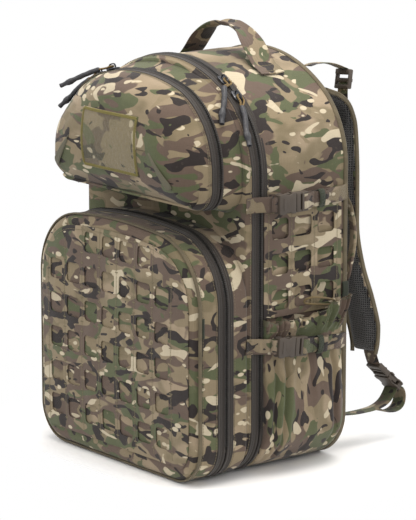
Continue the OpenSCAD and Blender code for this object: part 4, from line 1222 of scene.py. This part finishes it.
for sign in (1, -1):
    stitches("pack", THREAD, hem_row(sign), 0.14, 0.0034)
    route = curve_through([(sign * x * MM, y * MM, z * MM) for x, y, z in CORD_ROUTE], 70)
    cords = swept(route, lambda s: round_cord(1.5 * MM, 10), (sign, 0, 0.3))
    tie = piece(f"pocket_cord_{'right' if sign > 0 else 'left'}", cords, "pack", "cord", ELASTIC_CORD,
                crease=70, stands_for=("pocket_cords",) if sign > 0 else ())
    length_of(route)

# ---- Compression straps: built on the right with the strap's line at z = 0, in millimetres ----
BUCKLE_X = 180.6


def level_of(height, tilt):
    pivot = Matrix.Translation((0, -40 * MM, 0))
    return (Matrix.Translation((0, 0, height)) @ pivot @ Matrix.Rotation(-math.radians(tilt), 4, "X")
            @ pivot.inverted() @ Matrix.Diagonal((MM, MM, MM, 1)))


LEVELS = {"upper": level_of(0.357, 0), "lower": level_of(0.175, 5)}
OUT_OF_SIDE = Matrix(((0, 0, 1, 0), (1, 0, 0, 0), (0, 1, 0, 0), (0, 0, 0, 1)))   # x, y, z to y, z, x


def female_half():
    """The female half: two hourglass plates over a closed front, with posts at the mouth."""
    outline = [(-8, -12.2), (-5, -13.4), (1, -13.4), (3.5, -11.2), (9.5, -11.0), (12.5, -13.5), (19, -13.5)]
    outline += [(x, -z) for x, z in outline[::-1]]
    parts = [plate(outline, BUCKLE_X + low, BUCKLE_X + high, 0.8) for low, high in ((0, 2.3), (8.7, 11.0))]
    parts.append(plate([(-7.6, -11.6), (-1, -12.6), (-1, 12.6), (-7.6, 11.6)],
                       BUCKLE_X + 1.5, BUCKLE_X + 9.5, 0.5))
    for z in (-12.6, 12.6):
        parts.append(plate([(13.5, z - 0.8), (18.6, z - 0.8), (18.6, z + 0.8), (13.5, z + 0.8)],
                           BUCKLE_X + 2, BUCKLE_X + 9, 0.2))
    ridge = plate([(-2, -8), (0, -8.6), (2, -4), (2, 4), (0, 8.6), (-2, 8)],
                  BUCKLE_X + 10.8, BUCKLE_X + 11.6, 0.35)
    bm = joined(*parts, ridge)
    bmesh.ops.transform(bm, matrix=OUT_OF_SIDE, verts=bm.verts)
    return bm


def male_half():
    """The male half: two sprung arms and a guide, on a base with a ladder for the strap."""
    parts = []
    for s in (-1, 1):
        arm = [(20.5, 8.4), (20.5, 12.2), (13.4, 11.3), (11.5, 12.9), (5.5, 12.9), (2.2, 11.0), (1.0, 8.2),
               (2.6, 6.6), (6.0, 8.8), (12.0, 8.6)]
        parts.append(plate([(y, s * z) for y, z in (arm if s > 0 else arm[::-1])],
                           BUCKLE_X + 2.9, BUCKLE_X + 8.1, 0.6))
    parts.append(plate([(20.5, -1.6), (20.5, 1.6), (2, 1.0), (2, -1.0)], BUCKLE_X + 3.4, BUCKLE_X + 7.6, 0.3))
    base = bmesh.new()
    for y0, y1, x0, x1 in ((19.6, 26.2, 0, 11), (28.6, 32.2, 1.5, 11.3), (34.6, 39.6, 0.5, 9.5)):
        block(base, (x1 - x0, y1 - y0, 23.5),
              Matrix.Translation((BUCKLE_X + (x0 + x1) / 2, (y0 + y1) / 2, 0)), 1.0)
    for z in (-11.2, 11.2):
        block(base, (9.4, 20, 2.8), Matrix.Translation((BUCKLE_X + 5.5, 29.6, z)), 0.9)
    arms = joined(*parts)
    bmesh.ops.transform(arms, matrix=OUT_OF_SIDE, verts=arms.verts)
    return joined(arms, base)


def banded(points, wide=20.0, thick=1.6, steps=40):
    return swept(curve_through(points, steps), lambda s: flat_band(wide, thick), (0, 0, 1))


def strap_set():
    """The pieces of one strap on the right, each with its body, finish and name."""
    front = banded([(171.6, -46, 0), (171.6, -36, 0), (174.6, -27, 0), (178.6, -16, 0), (180.4, -9, 0),
                    (184.4, -6, 0), (184.4, 2, 0)], steps=44)
    keeper = banded([(181.6, -13, 0), (186.2, -12, 0), (186.0, -4, 0)], 19.0, 1.4, 16)
    rear = banded([(184.0, 27, 0), (181.5, 33, 0), (180.2, 44, 0), (179.6, 60, 0), (179.2, 84, 0),
                   (178.6, 101, 0), (175.6, 110, 0), (171.9, 117, 0), (171.0, 121.5, 0)], steps=60)
    loop = banded([(187.4, 30.4, 0), (190.0, 31.5, 0), (191.6, 35, 0), (190.4, 40, 0), (187.5, 46, 0),
                   (186.2, 52, 0)], 19.6, 1.5, 30)
    roll = [(184.0, 40, 0), (185.0, 50, 0), (186.6, 62, 0), (188.2, 70, 0), (187.4, 76, 0), (184.4, 77.2, 0),
            (182.0, 74.6, 0), (181.8, 66, 0), (182.8, 55, 0), (184.6, 51, 0), (186.0, 56, 0), (186.4, 66, 0),
            (185.4, 72.5, 0), (183.9, 72.4, 0), (183.6, 66, 0)]
    tail = banded(roll, 19.6, 1.3, 110)
    turns = [2 * PI * i / 28 for i in range(29)]
    ring = swept([Vector((185.6 + 5.1 * math.cos(a), 63.5, 11.6 * math.sin(a))) for a in turns],
                 lambda s: flat_band(9.0, 1.3, 5), (0, 1, 0), closed=True)
    return [("front_webbing", joined(front, keeper), "main_door", "webbing", WEBBING, "front_webbings"),
            ("female_buckle", female_half(), "main_door", "plastic", PLASTIC, "female_buckles"),
            ("rear_webbing", rear, "pack", "webbing", WEBBING, "rear_webbings"),
            ("male_buckle", male_half(), "buckle", "plastic", PLASTIC, "male"),
            ("strap_tail", joined(tail, loop), "buckle", "webbing", WEBBING, "tail"),
            ("tail_keeper", ring, "buckle", "webbing", ELASTIC, "")]


for tier, level in LEVELS.items():
    for made_name, bm, body, slot_name, finish, node in strap_set():
        for hand in ("left", "right"):
            copy = copied(bm, level, flipped=hand == "left")
            rides_on = f"buckle_{tier}_{hand}" if body == "buckle" else body
            stand = (f"{node}_{tier}_{hand}",) if node in ("male", "tail") else (node,) if node else ()
            piece(f"{made_name}_{tier}_{hand}", copy, rides_on, slot_name, finish, crease=35, stands_for=stand)
        bm.free()
for s in (-1, 1):
    for z in (0.357, 0.175):
        for dz in (-0.0075, 0.0075):
            stitches("main_door", THREAD, lambda d, s=s, z=z + dz: (
                Vector((s * 172.5 * MM, -0.045 + d, z)), Vector((s, 0, 0))), 0.008, 0.0016)

# ---- Handles ----
handle_low, handle_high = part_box("top_handle")
handle_feet = main.column(0.070)[1]
handle_mid = (handle_low.y + handle_high.y) / 2
rise = handle_high.z - handle_feet - 2 * MM
handle_path = curve_through([(x * MM, handle_mid, handle_feet + dz * rise) for x, dz in (
    (-94, -0.255), (-80, -0.065), (-72, 0.07), (-64, 0.25), (-50, 0.58), (-33, 0.85), (-14, 0.99), (0, 1.0),
    (14, 0.99), (33, 0.85), (50, 0.58), (64, 0.25), (72, 0.07), (80, -0.065), (94, -0.255))], 120)
for spot in handle_path:
    if abs(spot.x) > 0.071:
        top = main.column(spot.x)[1]
        spot.z = max(spot.z if abs(spot.x) < 0.075 else top + 2.0 * MM, top + 2.0 * MM)


def handle_section(share):
    narrow = level_at([(0, 0), (0.24, 0), (0.40, 1), (0.60, 1), (0.76, 0), (1, 0)], share)
    width = (38 - 13 * narrow) * MM
    cupped = []
    for a, o in flat_band(width, (2.0 + 2.6 * narrow) * MM, 10):
        cupped.append((a, o + (1.6 + 2.6 * narrow) * MM * ((a / (width / 2)) ** 2) - 1.4 * MM * narrow))
    return cupped


piece("top_handle_webbing", swept(handle_path, handle_section, (0, 1, 0)), "pack", "webbing", WEBBING,
      stands_for=("top_handle",))
seam_front, seam_rear = handle_low.y + 4 * MM, handle_high.y - 4 * MM
for s in (-1, 1):
    out = Vector((s * 0.3, 0, 1))
    for x in (0.078, 0.090):
        stitches("pack", THREAD, lambda d, s=s, x=x: (
            Vector((s * x, seam_front + d, main.column(x)[1] + 3.4 * MM)), out),
            seam_rear - seam_front, *HANDLE_ROW)
    for y in (seam_front, seam_rear):
        stitches("pack", THREAD, lambda d, s=s, y=y: (
            Vector((s * (0.078 + d), y, main.column(0.078 + d)[1] + 3.6 * MM)), out), 0.012, *HANDLE_ROW)

grip_low, grip_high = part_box("side_handle")
grip_z, grip_half = (grip_low.z + grip_high.z) / 2, (grip_high.z - grip_low.z) / 2
grip_x = (grip_low.x + grip_high.x) / 2
grip_path = curve_through([(grip_x, back_y + dy * MM, grip_z + dz * grip_half) for dy, dz in (
    (1.6, -1), (1.9, -0.90), (4.2, -0.80), (9.5, -0.62), (15.5, -0.36), (18.6, -0.05), (18.0, 0.25),
    (14.0, 0.53), (8.0, 0.74), (3.4, 0.86), (1.9, 0.93), (1.6, 1))], 90)


def grip_section(share):
    full = level_at([(0, 0), (0.14, 0), (0.28, 1), (0.72, 1), (0.86, 0), (1, 0)], share)
    return flat_band((17 - 6 * full) * MM, (2.2 + 2.6 * full) * MM, 8)


piece("side_handle_webbing", swept(grip_path, grip_section, (1, 0, 0)), "pack", "webbing", WEBBING,
      stands_for=("side_handle",))
for z in (grip_low.z + 0.006, grip_high.z - 0.006):
    for k in range(5):
        stitches("pack", THREAD, lambda d, z=z, k=k: (
            Vector((grip_x - 0.007 + d, back_y + 3.2 * MM, z - 0.003 + k * 0.0015)), Vector((0, 1, 0))),
            0.014, 0.0016, (0.0014, 0.0010, 0.0006))
ribbon = lofted(6, 10, lambda u, v: Vector((grip_x + 0.0105 + 1.2 * MM * math.sin(PI * v),
                                           back_y - 8 * MM + 9.5 * MM * u,
                                           grip_low.z - 0.008 + 0.020 * v)), 0.0095, 0.02)
walled(piece("side_tab", ribbon, "pack", "webbing", TAB), 1.1 * MM)
front_tab = lofted(5, 12, lambda u, v: Vector((lower.half + 0.9 * MM + 0.5 * MM * math.sin(PI * u),
                                              lower_zip_y - 38.5 * MM + 4.0 * MM * u,
                                              0.196 + 0.026 * v)), 0.004, 0.026)
walled(piece("front_edge_tab", front_tab, "lower_front", "webbing", TAB), 0.9 * MM)


# ---- Padded pieces ----
def inflated(bm, cap=7 * MM):
    """Remeshes a closed pad and lets air pressure crown its cloth; no point moves further than cap."""
    mesh = bpy.data.meshes.new("pad_work")
    bm.to_mesh(mesh)
    bm.free()
    work = placed("pad_work", mesh, (0, 0, 0))
    even = work.modifiers.new("even", "REMESH")
    even.mode, even.voxel_size = "VOXEL", 5 * MM
    bpy.context.view_layer.update()
    graph = bpy.context.evaluated_depsgraph_get()
    plain = bpy.data.meshes.new_from_object(work.evaluated_get(graph))
    work.modifiers.clear()
    work.data = plain
    start = [v.co.copy() for v in plain.vertices]
    cloth = work.modifiers.new("air", "CLOTH")
    cloth.settings.use_pressure = True
    cloth.settings.uniform_pressure_force = 4.0
    cloth.settings.effector_weights.gravity = 0
    cloth.settings.quality = 4
    cloth.settings.tension_stiffness = cloth.settings.compression_stiffness = 20
    cloth.settings.bending_stiffness = 0.6
    cloth.point_cache.frame_start, cloth.point_cache.frame_end = 1, 20
    scene = bpy.context.scene
    for step in range(1, 21):
        scene.frame_set(step)
    graph = bpy.context.evaluated_depsgraph_get()
    shown = work.evaluated_get(graph).to_mesh()
    moved = [v.co.copy() for v in shown.vertices]
    work.modifiers.clear()
    for vert, old, new in zip(plain.vertices, start, moved):
        step = new - old
        vert.co = old + (step if step.length <= cap else step.normalized() * cap)
    scene.frame_set(1)
    bm = bmesh.new()
    bm.from_mesh(plain)
    bpy.data.objects.remove(work)
    bmesh.ops.recalc_face_normals(bm, faces=bm.faces)
    return bm


def softened(made):
    fine = made.modifiers.new("soft_skin", "SUBSURF")
    fine.levels = fine.render_levels = 1
    return made


def slab(low, high, round_by):
    """A pad blank: a block with rounded sides."""
    bm = bmesh.new()
    block(bm, high - low, Matrix.Translation((low + high) / 2), round_by, 3)
    return bm


for hand, s in (("right", 1), ("left", -1)):
    low = Vector((min(s * 0.025, s * 0.123), back_y + 0.4 * MM, 0.142))
    high = Vector((max(s * 0.025, s * 0.123), back_y + 9.0 * MM, 0.459))
    pad = inflated(slab(low, high, 3.6 * MM), cap=5 * MM)
    for vert in pad.verts:
        over = max(0.0, (vert.co.y - back_y - 4 * MM) / (8 * MM))
        sewn = sum(math.exp(-((vert.co.z - z) / 0.0045) ** 2) for z in (0.222, 0.302, 0.382))
        vert.co.y = max(vert.co.y - 5.0 * MM * min(over, 1.0) * min(sewn, 1.0), back_y + 0.3 * MM)
        vert.co.y = min(vert.co.y, back_y + 12.5 * MM)
    made = softened(piece(f"back_pad_{hand}", pad, "pack", "mesh", MESH, crease=80,
                          stands_for=("back_pads",) if hand == "right" else ()))
lumbar = inflated(slab(Vector((-0.099, back_y + 0.4 * MM, 0.032)), Vector((0.099, back_y + 11.5 * MM, 0.125)),
                       4.5 * MM), cap=5 * MM)
for vert in lumbar.verts:
    over = max(0.0, (vert.co.y - back_y - 5 * MM) / (8 * MM))
    sewn = math.exp(-(vert.co.x / 0.0045) ** 2)
    vert.co.y = max(vert.co.y - 5.0 * MM * min(over, 1.0) * sewn, back_y + 0.3 * MM)
made = softened(piece("lumbar_pad_mesh", lumbar, "pack", "mesh", MESH, crease=80, stands_for=("lumbar_pad",)))


# ---- Harness: built for the right strap in side view, then splayed ----
def behind(points):
    """Points on the strap's middle line: distance behind the back face and height, in millimetres."""
    return [Vector((0.085, back_y + y * MM, z * MM)) for y, z in points]


SPLAY = (Matrix.Translation((0.085, 0, 0.527)) @ Matrix.Rotation(-math.radians(5), 4, "Y")
         @ Matrix.Translation((-0.085, 0, -0.527)))
PAD_LINE = [(3.6, 480), (14, 476), (29, 470), (43, 459), (51, 443), (55, 423), (55, 377), (52, 327),
            (50, 285), (57, 240), (69, 200), (77, 165), (79, 136), (75.5, 116)]
PAD_WIDE, PAD_THICK = 59.0, 9.0


def rounded_pad(share):
    """Section of a shoulder pad, narrower and thinner towards its ends."""
    end = min(1.0, share * 30 + 0.55, (1 - share) * 16 + 0.30)
    taper = PAD_WIDE * (1 - 0.04 * math.sin(PI * share)) * (0.72 + 0.28 * min(1.0, (1 - share) * 9)) * 0.5 * MM
    swell = PAD_THICK / 2 * MM * end
    section = []
    for i in range(28):
        angle = 2 * PI * i / 28
        c, s = math.cos(angle), math.sin(angle)
        section.append((taper * math.copysign(abs(c) ** 0.35, c), swell * math.copysign(abs(s) ** 0.6, s)))
    return section


def both_hands(name, bm, slot_name, finishes, stands=None, body=None, crease=38):
    """Splays a piece made in side view, and mirrors it for the left strap."""
    bmesh.ops.transform(bm, matrix=SPLAY, verts=bm.verts)
    other = copied(bm, flipped=True)
    made = []
    for hand, mesh in (("right", bm), ("left", other)):
        made.append(piece(f"{name}_{hand}", mesh, body or f"shoulder_strap_{hand}", slot_name, *finishes,
                          crease=crease, stands_for=((f"{stands}_{hand}",) if stands else ())))
    return made


pad_path = curve_through(behind(PAD_LINE), 90)
pad = inflated(swept(pad_path, rounded_pad, (1, 0, 0)), cap=5 * MM)
for face in pad.faces:
    middle = face.calc_center_median()
    k = min(range(len(pad_path)), key=lambda i: (pad_path[i] - middle).length_squared)
    run = (pad_path[min(k + 1, 90)] - pad_path[max(k - 1, 0)]).normalized()
    face.material_index = 1 if (middle - pad_path[k]).dot(run.cross(Vector((1, 0, 0)))) > 0 else 0
for made in both_hands("shoulder_pad_cloth", pad, "camo_fabric", (STRAP_CLOTH, MESH), "shoulder_pad",
                       crease=80):
    softened(made)
for s in (-1, 1):
    edge = []
    for i, spot in enumerate(pad_path[1:-1], 1):
        share = i / 90
        edge.append(spot + Vector((s * (max(a for a, _ in rounded_pad(share)) + 1.2 * MM), 0, 0)))
    around = swept(edge, lambda t: flat_band(6.5 * MM, 3.2 * MM, 6), [
        (edge[min(i + 1, len(edge) - 1)] - edge[max(i - 1, 0)]).normalized().cross(Vector((1, 0, 0)))
        for i in range(len(edge))])
    both_hands(f"pad_binding_{'outer' if s > 0 else 'inner'}", around, "webbing", (BINDING,))


def band_along(points, wide, steps):
    return swept(curve_through(behind(points), steps), lambda s: flat_band(wide * MM, 1.5 * MM), (1, 0, 0))


webs = joined(
    band_along([(3.2, 509.8), (14, 511.6), (28, 511.4), (40, 509.6), (50, 506.6), (58, 503.2), (64.5, 500.4),
                (67.0, 496)], 20, 40),
    band_along([(66.4, 486), (63.4, 480), (61.4, 472), (60.9, 462), (61.0, 446), (61.6, 434), (62.6, 424)],
               20, 36),
    band_along([(77.0, 150), (83.5, 146), (86.2, 136), (86.8, 126), (88.4, 116), (92.4, 103.5), (95.5, 99)],
               25, 36),
    band_along([(127.5, 67.8), (131.6, 66.0), (135.2, 60.5), (136.2, 53), (134.2, 44.5), (129.4, 38.6),
                (122, 35.4), (113, 34.8), (104, 36.6), (94.5, 41)], 25, 60),
    band_along([(60.6, 452), (62.8, 451), (63.0, 447), (60.9, 445)], 24, 14))
both_hands("harness_webbing", webs, "webbing", (WEBBING,), "harness_webbing")
low_band = band_along([(1.0, 52.2), (12, 48), (24, 45), (42, 42.6), (60, 42), (76, 42.2), (90, 43.4),
                       (101, 46.4), (110, 51.6), (117, 59.4), (121.5, 66.4)], 25, 70)
low_pair = both_hands("lower_webbing", low_band, "webbing", (WEBBING,), body="pack")
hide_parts("lower_webbings")



def hung(behind_back, height, tilt):
    """Placing of a buckle drawn in millimetres on the strap's middle line."""
    return (Matrix.Translation((0.085, back_y + behind_back * MM, height))
            @ Matrix.Rotation(math.radians(tilt), 4, "X") @ Matrix.Diagonal((MM, MM, MM, 1)))


lock = bmesh.new()
for z0, z1, y0, y1 in ((-13, -7.5, -3.6, 3.2), (-4.2, 1.2, -2.6, 4.4), (5.6, 13, -4.4, 2.8)):
    block(lock, (27.5, y1 - y0, z1 - z0), Matrix.Translation((0, (y0 + y1) / 2, (z0 + z1) / 2)), 1.2)
for x in (-12.6, 12.6):
    block(lock, (2.8, 6.4, 25), Matrix.Translation((x, 0, 0)), 1.0)
bmesh.ops.transform(lock, matrix=hung(64, 0.487, -12), verts=lock.verts)
TURNED = Matrix(((0, 1, 0, 0), (0, 0, 1, 0), (1, 0, 0, 0), (0, 0, 0, 1)))    # plate x, y, z to z, x, y
shell = [(-25.5, -12.5), (-22, -14.8), (-15, -15), (-12, -12.2), (-5.6, -12.0), (-2.6, -15), (3, -15)]
shell += [(z, -x) for z, x in shell[::-1]]
cheeks = joined(plate(shell, 3.0, 5.5, 0.8), plate(shell, -5.5, -3.0, 0.8),
                plate([(-25, -12), (-17, -13.8), (-17, 13.8), (-25, 12)], -4, 4, 0.5),
                plate([(-6, -13.4), (3.5, -13.0), (3.5, -10), (-8, -9), (-13, -10.4), (-12, -13.6)],
                      -2.4, 2.4, 0.6),
                plate([(-12, 13.6), (-13, 10.4), (-8, 9), (3.5, 10), (3.5, 13.0), (-6, 13.4)],
                      -2.4, 2.4, 0.6))
bmesh.ops.transform(cheeks, matrix=TURNED, verts=cheeks.verts)
ladder = bmesh.new()
for z0, z1, y0, y1 in ((3.6, 9, -4.4, 4.4), (12, 15.5, -3.2, 4.6), (19, 26, -4.0, 3.2)):
    block(ladder, (26.5, y1 - y0, z1 - z0), Matrix.Translation((0, (y0 + y1) / 2, (z0 + z1) / 2)), 1.1)
for x in (-12, 12):
    block(ladder, (2.8, 7.4, 22), Matrix.Translation((x, 0, 14.8)), 1.0)
clasp = joined(cheeks, ladder)
bmesh.ops.transform(clasp, matrix=hung(111, 0.084, 45), verts=clasp.verts)
both_hands("harness_hardware", joined(lock, clasp), "plastic", (PLASTIC,), "harness_hardware", crease=35)

# ---- Stitching, one piece for each body and thread ----
for (body, thread), (bm, finish) in stitch_work.items():
    piece(f"stitching_{body}_{thread.split('_')[0]}", bm, body, "webbing", finish, crease=30)

# ---- Floor ----
floor = placed("floor", bpy.data.meshes.new("floor"), (0, 0, 0))
ground = bmesh.new()
bmesh.ops.create_grid(ground, x_segments=1, y_segments=1, size=12, matrix=Matrix.Translation((0, 0, -0.0005)))
ground.to_mesh(floor.data)
ground.free()
floor.data.materials.append(floor_finish())
